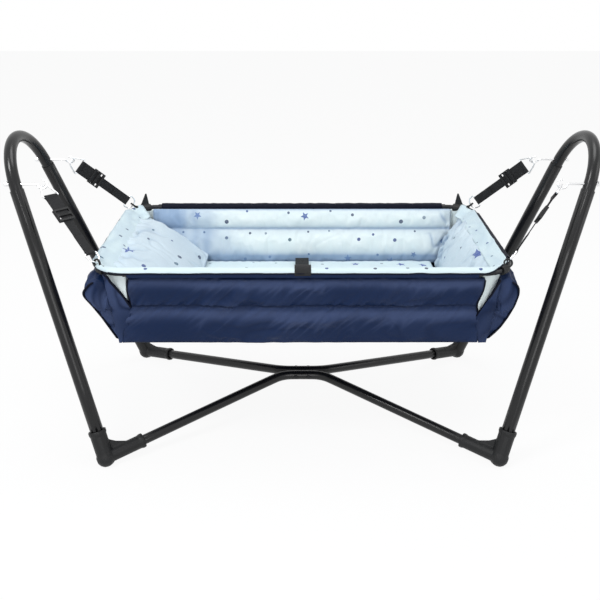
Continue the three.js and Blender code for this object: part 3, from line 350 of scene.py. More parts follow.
def hardMaterial(name):
    plan = {**hardBasics, **hardFinishes[name]}
    material, tree, shader = newMaterial(name)
    place = addNode(tree, "ShaderNodeTexCoord").outputs["Object"]
    scales = {"Broad Scale": plan["broad"], "Grain Scale": plan["grain"]}
    change = placeGroup(tree, surfaceVariation, place, scales)
    lighter = tuple(min(c * plan["lighter"], 1) for c in plan["colour"])
    tone = mixColour(tree, change["Broad"], plan["colour"], lighter)
    rough = ranged(tree, change["Broad"], *grainSpan, *plan["rough"])
    feed(tree, shader, {
        "Base Color": mixColour(tree, times(tree, change["Scuffs"], plan["marks"]), tone, plan["scuffed"]),
        "Roughness": calc(tree, "ADD", rough, times(tree, change["Scuffs"], plan["markedRough"])),
        "Metallic": plan["metallic"], "Coat Weight": plan["coat"], "Coat Roughness": plan["coatRough"],
        "Specular IOR Level": plan["specular"]})
    addBumps(tree, shader, (change["Grain"], plan["bump"], plan["depth"]))
    return material


tubePaint, mouldedPlastic, brightPlate, railPaint = map(hardMaterial, hardFinishes)
print("hard materials ready")

# cloth finishes

navyFinish = {  # the dark colour is painted shade in each fold, seam and edge, the pale colour a painted highlight on each full ridge
    "cloth": (0.002, 0.0145, 0.061, 1), "worn": (0.008, 0.022, 0.076, 1),
    "crease": (0.002, 0.0035, 0.014, 1), "paintedHighlight": (0.045, 0.07, 0.162, 1), "paintedHighlightShare": 0.9,
    "wornRange": (0.35, 0.7, 0.0, 0.35),
    "creaseShare": 0.8, "rough": (0.42, 0.58), "threads": 700.0, "slub": 0.35, "broad": 9.0, "grain": 260.0,
    "wrinkle": 0.0022, "soft": 38, "bumps": (0.55, 0.5), "weaveDepth": 0.00018,
    "sockets": {"Sheen Weight": 0.04, "Specular IOR Level": 0.17, "Sheen Roughness": 0.35,
                "Sheen Tint": (0.45, 0.55, 0.9, 1)},
}
bindingFinish = dict(
    navyFinish, cloth=(0.0022, 0.0036, 0.012, 1), worn=(0.004, 0.006, 0.018, 1), wrinkle=0.0006,
    sockets=dict(navyFinish["sockets"], **{"Sheen Weight": 0.0, "Specular IOR Level": 0.1}))
# the dark colour of each printed cloth is painted shade in folds, at seams, over the lining's left end and
# along its foot, and towards the foot of each pad
linerFinish = {
    "cloth": (0.8, 0.93, 0.945, 1), "light": (0.9, 0.955, 0.95, 1), "crease": (0.17, 0.28, 0.47, 1),
    "creaseShare": 0.85, "rough": (0.72, 0.88), "threads": 620.0, "slub": 0.3, "broad": 6.0, "grain": 240.0,
    "wrinkle": 0.0016, "soft": 30, "bumps": (0.6, 0.4), "weaveDepth": 0.00016,
    "inkRange": (0.2, 0.6, 0.72, 0.95),
    "print": {"Cells per Metre": 16.0, "Star Share": 0.12, "Size": 0.23, "Offset": 0.0},
    "sockets": {"Sheen Weight": 0.1, "Sheen Roughness": 0.4},
}
padFinish = dict(
    linerFinish, cloth=(0.585, 0.72, 0.815, 1), light=(0.73, 0.83, 0.89, 1), crease=(0.16, 0.25, 0.39, 1),
    wrinkle=0.003, print={"Cells per Metre": 16.0, "Star Share": 0.16, "Size": 0.25, "Offset": 7.3})
bedFinish = dict(linerFinish, cloth=(0.63, 0.785, 0.84, 1), light=(0.73, 0.845, 0.88, 1),
                 print=dict(linerFinish["print"], Offset=3.6))
cuffFinish = dict(bedFinish, print={"Cells per Metre": 16.0, "Star Share": 0.0, "Size": 0.2, "Offset": 11.9})


def shareOf(tree, title):
    return addNode(tree, "ShaderNodeAttribute", attribute_name=title).outputs["Fac"]


# random worn tone, then the painted highlight by the piece's share
def navyTone(tree, finish, place, change):
    worn = ranged(tree, change["Broad"], *finish["wornRange"])
    tone = mixColour(tree, worn, finish["cloth"], finish["worn"])
    return mixColour(tree, times(tree, shareOf(tree, "paintedHighlight"), finish["paintedHighlightShare"]), tone, finish["paintedHighlight"])


def printedTone(tree, finish, place, change):
    tone = mixColour(tree, change["Broad"], finish["cloth"], finish["light"])
    stars = placeGroup(tree, starPrint, place, finish["print"])
    ink = times(tree, stars["Mask"], ranged(tree, change["Grain"], *finish["inkRange"]))
    return mixColour(tree, ink, tone, stars["Colour"])


def clothMaterial(name, finish, makeTone):
    material, tree, shader = newMaterial(name)
    place = addNode(tree, "ShaderNodeUVMap", uv_map="cloth").outputs["UV"]
    threads = {"Threads per Metre": finish["threads"], "Slub": finish["slub"]}
    weave = placeGroup(tree, clothWeave, place, threads)
    scales = {"Broad Scale": finish["broad"], "Grain Scale": finish["grain"]}
    change = placeGroup(tree, surfaceVariation, place, scales)
    shaded = mixColour(tree, 1.0, makeTone(tree, finish, place, change), weave["Shade"], "MULTIPLY")
    # the cloth goes towards its dark colour by the piece's crease share: painted shade
    creased = times(tree, shareOf(tree, "crease"), finish["creaseShare"])
    feed(tree, shader, {"Base Color": mixColour(tree, creased, shaded, finish["crease"]),
                        "Roughness": ranged(tree, change["Grain"], *grainSpan, *finish["rough"]),
                        **finish["sockets"]})
    soft = scaledNoise(tree, place, finish["soft"], 5, 0.6)
    softBump, weaveBump = finish["bumps"]
    addBumps(tree, shader, (soft, softBump, finish["wrinkle"]),
             (weave["Height"], weaveBump, finish["weaveDepth"]))
    return material


navyPanels = clothMaterial("navyCloth", navyFinish, navyTone)
navyBinding = clothMaterial("navyBinding", bindingFinish, navyTone)
linerCloth = clothMaterial("printedCotton", linerFinish, printedTone)
padCloth = clothMaterial("printedCottonPad", padFinish, printedTone)
mattressCloth = clothMaterial("printedCottonMattress", bedFinish, printedTone)
cuffCloth = clothMaterial("printedCottonCuff", cuffFinish, printedTone)
print("cloth materials ready")

# padded pieces: a stitched board is shaped, blown up between its seams and then puckered


def boardSize(board):
    return [(board["corners"][0] - board["corners"][other]).length for other in (1, 2)]


def boardPoint(board, u, v):  # the gathered seam draws the two ends in
    topLeft, topRight, lowLeft, lowRight = board["corners"]
    drawn = board["drawIn"] * math.exp(-((v - board["bands"][1]) / board["drawReach"]) ** 2)
    u = 0.5 + (u - 0.5) * (1 - drawn * abs(2 * u - 1) ** 6)
    return topLeft.lerp(topRight, u).lerp(lowLeft.lerp(lowRight, u), v)


def boardNormal(board):
    topLeft, topRight, lowLeft, _ = board["corners"]
    normal = (topRight - topLeft).cross(lowLeft - topLeft).normalized()
    return normal if normal.dot(Vector(board["faces"])) > 0 else -normal


def bandShare(v, bands):  # how far v is through the band that it lies in
    for low, high in zip(bands, bands[1:]):
        if v <= high + 1e-6:
            return (v - low) / (high - low)
    return 1


def fullness(v, bands):
    share = min(max(bandShare(v, bands), 0), 1)
    return math.sqrt(max(math.sin(math.pi * share), 0))


def readPlaces(mesh, title="co"):
    places = np.zeros(len(mesh.vertices) * 3, np.float32)
    mesh.vertices.foreach_get(title, places)
    return places.reshape(-1, 3).astype(float)


def writePlaces(mesh, places):
    mesh.vertices.foreach_set("co", np.asarray(places, np.float32).ravel())
    mesh.update()


def storeValue(mesh, title, values):
    attribute = mesh.attributes.get(title) or mesh.attributes.new(title, "FLOAT", "POINT")
    attribute.data.foreach_set("value", np.asarray(values, np.float32))


def readValue(mesh, title):
    values = np.zeros(len(mesh.vertices), np.float32)
    mesh.attributes[title].data.foreach_get("value", values)
    return values.astype(float)


def finishPiece(piece, material, slotName, replaced=(), body="cradle", smooth=True):
    piece.data.materials.clear()
    piece.data.materials.append(material)
    if smooth:
        piece.data.shade_smooth()
    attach(piece, body)
    if replaced:
        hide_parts(*replaced)


def startBoard(name, board):  # a closed flat box of even cells, bent to the board's outline
    width, height = boardSize(board)
    columns = max(int(round(width / board["cell"])), 4)
    steps = [0.0]
    for low, high in zip(board["bands"], board["bands"][1:]):
        count = max(int(round((high - low) * height / board["cell"])), 3)
        steps += [low + (high - low) * (i + 1) / count for i in range(count)]
    rows = len(steps) - 1
    made = bmesh.new()
    bmesh.ops.create_grid(made, x_segments=columns, y_segments=rows, size=0.5)
    made.normal_update()
    bmesh.ops.solidify(made, geom=list(made.faces), thickness=0.1)
    layer = made.loops.layers.uv.new("cloth")
    heights = [vert.co.z for vert in made.verts]
    middle = (max(heights) + min(heights)) / 2
    cover = {}
    for vert in made.verts:
        u = min(max(vert.co.x + 0.5, 0), 1)
        row = min(max((0.5 - vert.co.y) * rows, 0), rows)
        cover[vert.index] = (u, steps[int(round(row))], vert.co.z > middle)
    for face in made.faces:
        for loop in face.loops:
            u, v, _ = cover[loop.vert.index]
            loop[layer].uv = (u * width * board["printStretch"], v * height)
    normal, edge = boardNormal(board), board["edge"]
    marks = np.zeros((len(made.verts), 3))
    for vert in made.verts:
        u, v, front = cover[vert.index]
        crown = board["crown"] if front else board["back"]
        ends = math.sqrt(max(1 - abs(2 * u - 1) ** 8, 0))
        seam = any(0 < s < 1 and abs(s - v) < 1e-6 for s in board["bands"])
        puffed = board["start"] * (crown - edge) * fullness(v, board["bands"])
        swell = edge + max(board["seam"] - edge if seam else puffed, 0) * ends
        vert.co = boardPoint(board, u, v) + normal * (swell if front else -swell)
        marks[vert.index] = (u, v, front)
    bmesh.ops.recalc_face_normals(made, faces=made.faces)
    mesh = meshFrom(made, name)
    for column, title in enumerate(("boardU", "boardV", "boardFront")):
        storeValue(mesh, title, marks[:, column])
    return addObject(name, mesh)


def holdPoints(piece, held):
    group = piece.vertex_groups.new(name="held")
    group.add([int(index) for index in np.nonzero(held)[0]], 1.0, "REPLACE")


def holdSeams(piece, board):  # the seams and the rim hold still while the cloth fills
    u, v = readValue(piece.data, "boardU"), readValue(piece.data, "boardV")
    held = (u < 1e-4) | (u > 1 - 1e-4)
    for seam in board["bands"]:
        held |= np.abs(v - seam) < 1e-4
    holdPoints(piece, held)


filling = {"frames": 20, "quality": 5, "mass": 0.3, "tension": 15, "bending": 0.3}


def addCloth(piece, board):
    cloth = piece.modifiers.new("fill", "CLOTH")
    settings = cloth.settings
    settings.quality = filling["quality"]
    settings.mass = filling["mass"]
    settings.tension_stiffness = filling["tension"]
    settings.compression_stiffness = filling["tension"]
    settings.bending_stiffness = filling["bending"]
    settings.use_pressure = True
    settings.uniform_pressure_force = board["pressure"]
    settings.vertex_group_mass = "held"
    settings.pin_stiffness = 1
    settings.shrink_min = -board["spare"]
    settings.shrink_max = -board["spare"]
    settings.effector_weights.gravity = 0
    cloth.collision_settings.use_collision = False
    cloth.collision_settings.use_self_collision = False
    cloth.point_cache.frame_start = 1
    cloth.point_cache.frame_end = filling["frames"]


def cappedLength(moved, cap):
    return moved * np.minimum(1, cap / np.maximum(np.linalg.norm(moved, axis=1), 1e-9))[:, None]


def cappedMove(piece, board, moved):  # how far a point may go while the cloth fills
    if "capAny" in board:
        return cappedLength(moved, board["capAny"])
    normal = np.array(boardNormal(board))
    outward = moved @ normal
    side = moved - np.outer(outward, normal)
    isFront = readValue(piece.data, "boardFront") > 0.5
    limited = np.where(isFront, np.clip(outward, -board["capIn"], board["capOut"]),
                       np.clip(outward, -board["capBack"], board["capIn"]))
    return np.outer(limited, normal) + cappedLength(side, board["capSide"])


def fillTogether(jobs):  # every padded piece is simulated in the same run of frames
    before = {piece.name: readPlaces(piece.data) for piece, _ in jobs}
    for piece, board in jobs:
        addCloth(piece, board)
    scene.frame_start, scene.frame_end = 1, filling["frames"]
    for step in range(filling["frames"]):
        scene.frame_set(step + 1)
    graph = bpy.context.evaluated_depsgraph_get()
    after = {piece.name: readPlaces(piece.evaluated_get(graph).data) for piece, _ in jobs}
    for piece, _ in jobs:
        piece.modifiers.clear()
    scene.frame_set(1)
    for piece, board in jobs:
        moved = cappedMove(piece, board, after[piece.name] - before[piece.name])
        writePlaces(piece.data, before[piece.name] + moved)


def applied(piece):  # the modifiers are worked into the mesh
    graph = bpy.context.evaluated_depsgraph_get()
    mesh = bpy.data.meshes.new_from_object(piece.evaluated_get(graph), depsgraph=graph)
    piece.modifiers.clear()
    old = piece.data
    piece.data = mesh
    bpy.data.meshes.remove(old)
    mesh.name = piece.name


def subdivided(piece, levels=1):
    smooth = piece.modifiers.new("round", "SUBSURF")
    smooth.levels = smooth.render_levels = levels
    applied(piece)


def noiseAt(x, y, z):
    return noise.noise(Vector((x, y, z)))


def darken(spot, *tones):
    spot["crease"] = max(spot["crease"], *tones)


def gatherSeams(spot, board):  # short gathers that run away from each seam and die out
    along, down, height = spot["along"], spot["down"], spot["height"]
    downRate, fineRate = board["gatherRates"]
    for seam, depth, reach in board["gathers"]:
        away = abs(spot["v"] - seam) * height
        if away > 4 * reach:
            continue
        across = (along + board["slant"] * (down - seam * height)) * board["foldRate"]
        fold = noiseAt(across, down * downRate, board["seed"])
        fine = noiseAt(across * 2.3, down * fineRate, board["seed"] + 5)
        strength = math.exp(-away / reach) * min(away / board["foldStart"], 1)
        bunch = spot["calm"] * (0.45 + 0.9 * max(noiseAt(along * board["bunchRate"], board["seed"], 1.7), 0))
        spot["lift"] += depth * strength * bunch * ((1 - 2.4 * abs(fold)) + 0.45 * fine)
        # painted shade in the seam's groove, in its gathers and beside the seam
        groove = math.exp(-(away / board["grooveWide"]) ** 2)
        spot["lift"] -= board["groove"] * groove
        shade = board["seamShade"] * math.exp(-away / board["shadeReach"])
        shade *= 0.6 + 0.8 * max(bunch - 0.45, 0)
        darken(spot, groove * board["grooveTone"], strength * bunch * max(0.15 - abs(fold), 0) * 2.5, shade)


def crinkle(spot, board):  # slow waves and sharp creases all over, with painted shade along each crease
    along, down = spot["along"], spot["down"]
    slowAlong, slowDown = board["slowRates"]
    streakAlong, streakDown = board["streak"]
    slow = noiseAt(along * slowAlong, down * slowDown, board["seed"] + 11)
    creased = noiseAt(along * streakAlong + slow * 2, down * streakDown, board["seed"] + 21)
    sharp = max(0.0, 1 - 5 * abs(creased))
    spot["lift"] += board["waves"] * slow - board["crinkle"] * sharp * (0.5 + slow)
    darken(spot, board["crinkleTone"] * sharp * (0.5 + slow))
    spot["slow"] = slow


def foldSides(spot, board):  # gathers that run in from the two short ends, with painted shade in their folds
    sideAway = min(spot["along"], spot["width"] - spot["along"])
    widest, reach = board["sideReach"]
    if board["sideFold"] and sideAway < widest:
        fold = noiseAt(spot["down"] * board["sideRate"], sideAway * 9, board["seed"] + 31)
        strength = math.exp(-sideAway / reach) * min(sideAway / board["foldStart"], 1)
        spot["lift"] += board["sideFold"] * strength * (1 - 2.6 * abs(fold))
        darken(spot, strength * max(0.16 - abs(fold), 0) * 4)


def twistKnots(spot, board):  # twisted folds round a few places of the cloth, with painted shade in and around them
    rate = board["knotRate"]
    for atU, atV, near, depth, dark in board["knots"]:
        away = math.hypot((spot["u"] - atU) * spot["width"], (spot["v"] - atV) * spot["height"]) / near
        twist = noiseAt(spot["along"] * rate + spot["slow"] * 3, spot["down"] * rate, board["seed"] + 51)
        ridge = max(0.0, 1 - 2.6 * abs(twist)) ** 2 * math.exp(-away * away)
        spot["lift"] -= depth * ridge
        darken(spot, dark * (0.3 * math.exp(-away * away) + 0.7 * ridge))


def shadeLining(spot, board):  # the shaded left end and foot of the lining, and the foot of each sloping pad
    darken(spot, board["slopeShade"] * min(max((spot["v"] - 0.2) / 0.35, 0), 1))
    if "endShade" not in board:
        return
    rateAlong, rateDown = board["shadeRates"]
    streaky = 1 + 0.4 * noiseAt(spot["along"] * rateAlong, spot["down"] * rateDown, board["seed"] + 61)
    reach, power, share = board["upperShade"] if spot["v"] < board["bands"][1] else board["lowerShade"]
    least, more, pocketReach = board["pocket"]
    pocket = least + more * board["endShade"] * math.exp(-(spot["along"] / pocketReach) ** 6)
    footAway = max(board["footLine"] - spot["v"], 0) * spot["height"]
    darken(spot, board["endShade"] * share * streaky * math.exp(-(spot["along"] / reach) ** power),
           0.85 * math.exp(-footAway / pocket) + 0.1 * math.exp(-footAway / board["footReach"]))


def paintedHighlightTone(spot, board):  # the painted highlight on the ridge near the top of each band, drawn down in slanting streaks
    along, down = spot["along"], spot["down"]
    middle, spread, wander = board["paintedHighlight"]
    streakAlong, streakDown = board["paintedHighlightRates"]
    slanted = noiseAt((along + board["slant"] * down) * streakAlong, down * streakDown, board["seed"] + 41)
    slower = noiseAt(along * 6, down * 5, board["seed"] + 47)
    drawn = wander * spot["calm"] ** 2 * max(0.0, 1 - 2.4 * abs(slanted)) ** 2 * max(0.15 + 1.9 * slower, 0)
    at = bandShare(spot["v"], board["bands"]) - 0.06 * slower - middle
    low = max(at, 0) / (spread + drawn)
    return math.exp(-(min(at, 0) / (0.7 * spread)) ** 2 - low * low) * (0.9 + 0.45 * slower)


# the puckers are shaped here, and painted shade and painted highlight are stored as shares for the cloth
# colour
def pucker(piece, board):
    mesh = piece.data
    width, height = boardSize(board)
    u, v, front = (readValue(mesh, title) for title in ("boardU", "boardV", "boardFront"))
    lift, crease, paintedHighlight = (np.zeros(len(u)) for _ in range(3))
    calmFrom, calmOver = board["calmPart"]
    for index in range(len(u)):
        calmed = min(max((u[index] - calmFrom) / calmOver, 0), 1)
        spot = {"u": u[index], "v": v[index], "along": u[index] * width, "down": v[index] * height,
                "width": width, "height": height, "calm": 1 - board["calmEnd"] * calmed,
                "lift": 0.0, "crease": 0.0}
        for shape in (gatherSeams, crinkle, foldSides, twistKnots, shadeLining):
            shape(spot, board)
        edgeAway = min(spot["along"], width - spot["along"], spot["down"], height - spot["down"])
        # painted shade along every edge of the board
        darken(spot, board["rimTone"] * math.exp(-edgeAway / board["rimReach"]))
        crease[index] = spot["crease"]
        lift[index] = spot["lift"] * min(edgeAway / board["edgeFade"], 1)
        lift[index] *= 1 if front[index] > 0.5 else board["backShare"]
        if "paintedHighlight" in board:
            paintedHighlight[index] = paintedHighlightTone(spot, board)
    sign = np.where(front > 0.5, 1.0, -1.0)
    writePlaces(mesh, readPlaces(mesh) + np.outer(lift * sign, np.array(boardNormal(board))))
    storeValue(mesh, "crease", np.clip(crease, 0, 1))
    # painted highlight also where the cloth is lifted out
    if "paintedHighlight" in board:
        storeValue(mesh, "paintedHighlight", np.clip(paintedHighlight + 0.4 * np.clip(lift / board["paintedHighlightLift"], 0, 1), 0, 1))


def finishPadded(piece, board):
    subdivided(piece)
    pucker(piece, board)
    for title in ("boardU", "boardV", "boardFront"):
        piece.data.attributes.remove(piece.data.attributes[title])
    finishPiece(piece, board["finish"], board["slot"], [board["node"]])


boardBasics = {  # what a board has unless it says otherwise: metres, noise rates per metre, and shares
    "bands": [0, 1], "back": 0.003, "seam": 0.0026, "edge": 0.002, "cell": 0.006, "printStretch": 1,
    "pressure": 4, "capIn": 0.003, "capBack": 0.0005, "capSide": 0.003, "fill": 0.7, "slot": "liner",
    "shifts": {},
    "drawIn": 0, "drawReach": 0.16, "foldStart": 0.003, "gatherRates": (7, 12), "bunchRate": 6,
    "slant": 0.35, "grooveWide": 0.0032, "grooveTone": 0.9, "seamShade": 0, "shadeReach": 0.012,
    "slowRates": (5, 8), "streak": (13, 17), "sideFold": 0, "sideReach": (0.06, 0.016), "knots": (),
    "knotRate": 21, "slopeShade": 0, "calmEnd": 0, "calmPart": (0.6, 0.3), "rimTone": 0.35, "rimReach": 0.004,
    "edgeFade": 0.006, "backShare": 0.15,
}
outerPanel = {  # long sides of the shell: top edge tucked into the sleeve, foot further in and longer
    "corners": [(-0.404, -0.2616, 0.493), (0.404, -0.2616, 0.493), (-0.424, -0.240, 0.314),
                (0.424, -0.240, 0.314)],
    "bands": [0, 0.42, 1], "crown": 0.0125, "seam": 0.0028, "start": 0.75, "spare": 0.035, "capOut": 0.007,
    "capBack": 0.001, "capSide": 0.004, "foldRate": 36, "groove": 0.0022, "grooveTone": 0.35,
    "gathers": [(0.42, 0.0105, 0.022), (1.0, 0.003, 0.016), (0.0, 0.0052, 0.018)],
    "waves": 0.0036, "crinkle": 0.0022, "crinkleTone": 0.16,
    "drawIn": 0.032, "sideFold": 0.006, "sideRate": 34, "slant": 0.85, "streak": (9, 15), "calmEnd": 0.6,
    # the painted highlight: its place in each band, its spread and the wander of its streaks; the rim tone is
    # painted shade along the edges
    "paintedHighlight": (0.18, 0.15, 0.45), "paintedHighlightRates": (42, 12), "paintedHighlightLift": 0.006, "rimTone": 0.95, "slot": "navy",
}
frontPanel = dict(outerPanel, shifts={1: 0.018, 2: -0.014})  # longer at its right top and left foot
sideLiner = {
    "corners": [(-0.430, -0.2477, 0.502), (0.430, -0.2477, 0.502), (-0.428, -0.2057, 0.352),
                (0.428, -0.2057, 0.352)],
    "bands": [0, 0.36, 1], "crown": 0.013, "start": 0.8, "spare": 0.03, "capOut": 0.006,
    "gathers": [(0.36, 0.0036, 0.013), (1.0, 0.0024, 0.012), (0.0, 0.001, 0.01)], "foldRate": 38,
    "groove": 0.002, "grooveWide": 0.0046, "waves": 0.002, "crinkle": 0.0014, "crinkleTone": 0.14,
    # painted shade beside the seam, along the edges, over the left end and along the foot
    "seamShade": 0.75, "rimTone": 0.7,
    "endShade": 1.0, "shadeRates": (45, 9), "upperShade": (0.16, 2.5, 1.1), "lowerShade": (0.235, 6, 0.75),
    "pocket": (0.009, 0.03, 0.26), "footLine": 0.855, "footReach": 0.03,
}
frontLiner = dict(sideLiner, endShade=0.4)
rearLiner = dict(sideLiner, knots=[  # the bunched folds, with painted shade in them, where the lining meets the right end pad
    (0.968, 0.2, 0.028, 0.004, 0.9), (0.96, 0.55, 0.034, 0.005, 1.1), (0.975, 0.85, 0.028, 0.004, 0.9)])
headPad = {  # the long slope at the left, down to the mattress
    "corners": [(-0.45987, -0.2297, 0.494), (-0.45987, 0.2297, 0.494), (-0.26987, -0.19943, 0.3771),
                (-0.26987, 0.19943, 0.3771)],
    "crown": 0.017, "back": 0.004, "start": 0.85, "spare": 0.04, "capOut": 0.006, "capIn": 0.004,
    "gathers": [(0.0, 0.003, 0.02), (1.0, 0.0022, 0.016)], "foldRate": 24, "groove": 0.0008, "waves": 0.0042,
    # painted shade along the creases and the edges, towards the foot of each pad and in its twisted folds
    "crinkle": 0.0014, "crinkleTone": 0.1, "streak": (17, 4.5), "rimTone": 0.6, "printStretch": 0.7,
    "slopeShade": 0.2, "knots": [(0.3, 0.08, 0.07, 0.006, 0.5), (0.68, 0.1, 0.08, 0.006, 0.55)],
}
footPad = dict(headPad, **{  # the steep one at the right
    "corners": [(0.45987, -0.2297, 0.494), (0.45987, 0.2297, 0.494), (0.38487, -0.1924, 0.352),
                (0.38487, 0.1924, 0.352)],
    # painted shade along the creases, towards the foot and in the twisted folds, as on the left pad
    "crinkle": 0.002, "crinkleTone": 0.2, "waves": 0.005, "slopeShade": 0.12,
    "knots": [(0.96, 0.6, 0.09, 0.007, 1.2), (0.92, 0.2, 0.06, 0.006, 1.0), (0.3, 0.2, 0.08, 0.003, 0.4)],
})
mattressPad = {
    "corners": [(-0.3749, 0.1997, 0.3493), (0.3749, 0.1997, 0.3493), (-0.3749, -0.1997, 0.3493),
                (0.3749, -0.1997, 0.3493)],
    "crown": 0.0245, "back": 0.0245, "seam": 0.01, "edge": 0.0095, "start": 0.9, "cell": 0.007,
    "spare": 0.015, "capOut": 0.001, "capBack": 0.0, "capSide": 0.002,
    "gathers": [(0.0, 0.002, 0.014), (1.0, 0.002, 0.014)], "foldRate": 22, "groove": 0.0006,
    "waves": 0.0014, "crinkle": 0.001, "crinkleTone": 0.08,
}
floorBoard = {
    "corners": [(-0.4397, 0.2377, 0.319), (0.4397, 0.2377, 0.319), (-0.4397, -0.2377, 0.319),
                (0.4397, -0.2377, 0.319)],
    "crown": 0.005, "back": 0.005, "seam": 0.0028, "start": 0.9, "cell": 0.01, "pressure": 1, "spare": 0.01,
    "capOut": 0.0005, "capIn": 0.002, "capSide": 0.001, "title": "floor",
    "gathers": [(0.0, 0.001, 0.012), (1.0, 0.001, 0.012)], "foldRate": 20, "groove": 0.0005,
    "waves": 0.0006, "crinkle": 0.0005, "crinkleTone": 0.1, "slot": "navy",
}

# sheets and cords of cloth that follow a line


def between(low, high, share):
    return low + (high - low) * share


def clamped(value):
    return min(max(value, 0), 1)


def evenLine(points, step, softened=0):
    line = [Vector(p) for p in points]
    for _ in range(2):  # the second time after the corners are softened
        lengths = [0.0]
        for first, second in zip(line, line[1:]):
            lengths.append(lengths[-1] + (second - first).length)
        count = max(int(round(lengths[-1] / step)), 2)
        even, index = [], 0
        for number in range(count + 1):
            want = lengths[-1] * number / count
            while index < len(line) - 2 and lengths[index + 1] < want:
                index += 1
            share = (want - lengths[index]) / max(lengths[index + 1] - lengths[index], 1e-12)
            even.append(line[index].lerp(line[index + 1], clamped(share)))
        for _ in range(softened):
            inner = [(a + b * 2 + c) / 4 for a, b, c in zip(even, even[1:], even[2:])]
            even = [even[0]] + inner + [even[-1]]
        line, softened = even, 0
    return line, lengths[-1]


def bentSheet(name, columns, rows, place, size, joined=False):  # an even grid laid where place(u, v) says
    made = bmesh.new()
    bmesh.ops.create_grid(made, x_segments=columns, y_segments=rows, size=0.5)
    layer = made.loops.layers.uv.new("cloth")
    for face in made.faces:
        for loop in face.loops:
            loop[layer].uv = ((loop.vert.co.x + 0.5) * size[0], (loop.vert.co.y + 0.5) * size[1])
    for vert in made.verts:
        vert.co = place(vert.co.x + 0.5, vert.co.y + 0.5)
    if joined:
        bmesh.ops.remove_doubles(made, verts=made.verts, dist=1e-5)
        bmesh.ops.recalc_face_normals(made, faces=made.faces)
    mesh = meshFrom(made, name)
    storeValue(mesh, "crease", np.zeros(len(mesh.vertices)))
    return addObject(name, mesh)


def addThickness(piece, thickness, offset=0.0):
    solid = piece.modifiers.new("thickness", "SOLIDIFY")
    solid.thickness = thickness
    solid.offset = offset


def rolledCord(name, points, radius, step, softened=0):  # a thin roll of dark cloth with shut ends
    line, length = evenLine(points, step, softened)
    last = len(line) - 1
    frames = []
    side = None
    for index, point in enumerate(line):
        run = (line[min(index + 1, last)] - line[max(index - 1, 0)]).normalized()
        if side is None:
            side = run.orthogonal().normalized()
        side = (side - run * side.dot(run)).normalized()
        frames.append((point, side, run.cross(side)))

    def place(u, v):
        index = int(round(u * last))
        centre, across, up = frames[index]
        reach = radius if 0 < index < last else radius * 0.01
        return centre + (across * math.cos(2 * math.pi * v) + up * math.sin(2 * math.pi * v)) * reach

    cord = bentSheet(name, last, 8, place, (length, 2 * math.pi * radius), joined=True)
    finishPiece(cord, navyBinding, "navy")
    return cord


def crumple(piece, plan):  # broad waves and sharp folds along the surface's own direction, with painted shade in the folds and a painted highlight on the broad rises
    mesh = piece.data
    places, normals = readPlaces(mesh), readPlaces(mesh, "normal")
    crease = readValue(mesh, "crease")
    lift, paintedHighlight = np.zeros(len(places)), np.zeros(len(places))
    broad, fine, seed = Vector(plan["broad"]), Vector(plan["fine"]), plan["seed"]
    for index, point in enumerate(places):
        at = Vector(point)
        slow = noise.noise(at * broad + Vector((seed, 0, 0)))
        bend = at * fine + Vector((slow * plan["drift"], seed, slow * plan["drift"]))
        ridge = max(0.0, 1 - plan["sharp"] * abs(noise.noise(bend)))
        hold = plan["where"](at) if "where" in plan else 1
        lift[index] = (plan["waves"] * slow - plan["folds"] * ridge) * hold
        crease[index] = max(crease[index], (ridge * plan["tone"] + plan["shade"]) * hold)
        paintedHighlight[index] = plan["paintedHighlight"] * clamped(0.9 + 1.1 * slow - 0.7 * ridge) * hold
    writePlaces(mesh, places + normals * lift[:, None])
    storeValue(mesh, "crease", np.clip(crease, 0, 1))
    storeValue(mesh, "paintedHighlight", np.clip(paintedHighlight, 0, 1))


endWall = {  # full wedge at each end: shares of its height and depth, as seen from the front
    "foot": (0.440, 0.314), "reach": (0.072, 0.183), "halfFoot": 0.236, "halfTop": 0.254,
    "outer": {-1: [(1, 0.667), (0.97, 0.81), (0.9, 0.99), (0.82, 1.13), (0.76, 1.1), (0.6, 0.89),
                   (0.36, 0.56), (0.12, 0.22), (0, 0.065)],
              1: [(1, 0.667), (0.97, 0.833), (0.9, 0.958), (0.8, 1), (0.6, 0.95), (0.36, 0.73), (0.2, 0.49),
                  (0.1, 0.29), (0, 0.056)]},
    "inner": [(0, 0), (0.2, 0.014), (0.45, 0), (0.62, 0.111), (0.82, 0.208), (0.95, 0.27), (1, 0.372)],
    "cell": 0.006, "bodyRows": 80, "capRows": 9, "drawIn": 0.012, "bulge": 0.006, "shrink": 0.003,
    "cornerShrink": 0.007, "heldTop": 0.006, "heldFoot": 0.004, "capWidth": 0.1,
    # the crest is a painted highlight, stronger on the left wing
    "pressure": 4, "spare": 0.05, "capAny": 0.004, "fill": 0.55, "paintedHighlight": {-1: 1.5, 1: 0.6},
    "seed": {-1: 4.2, 1: 9.6},
    "middle": (0.472, 0.414), "piping": 0.0028, "pipingIn": 0.0082, "pipingStep": 0.005,
}
# painted shade in each fold of the wings and gussets
wallFolds = {"broad": (11, 4, 9), "fine": (19, 8, 13), "drift": 1.0, "sharp": 4.5, "waves": 0.0016,
             "folds": 0.0024, "tone": 0.3, "shade": 0}


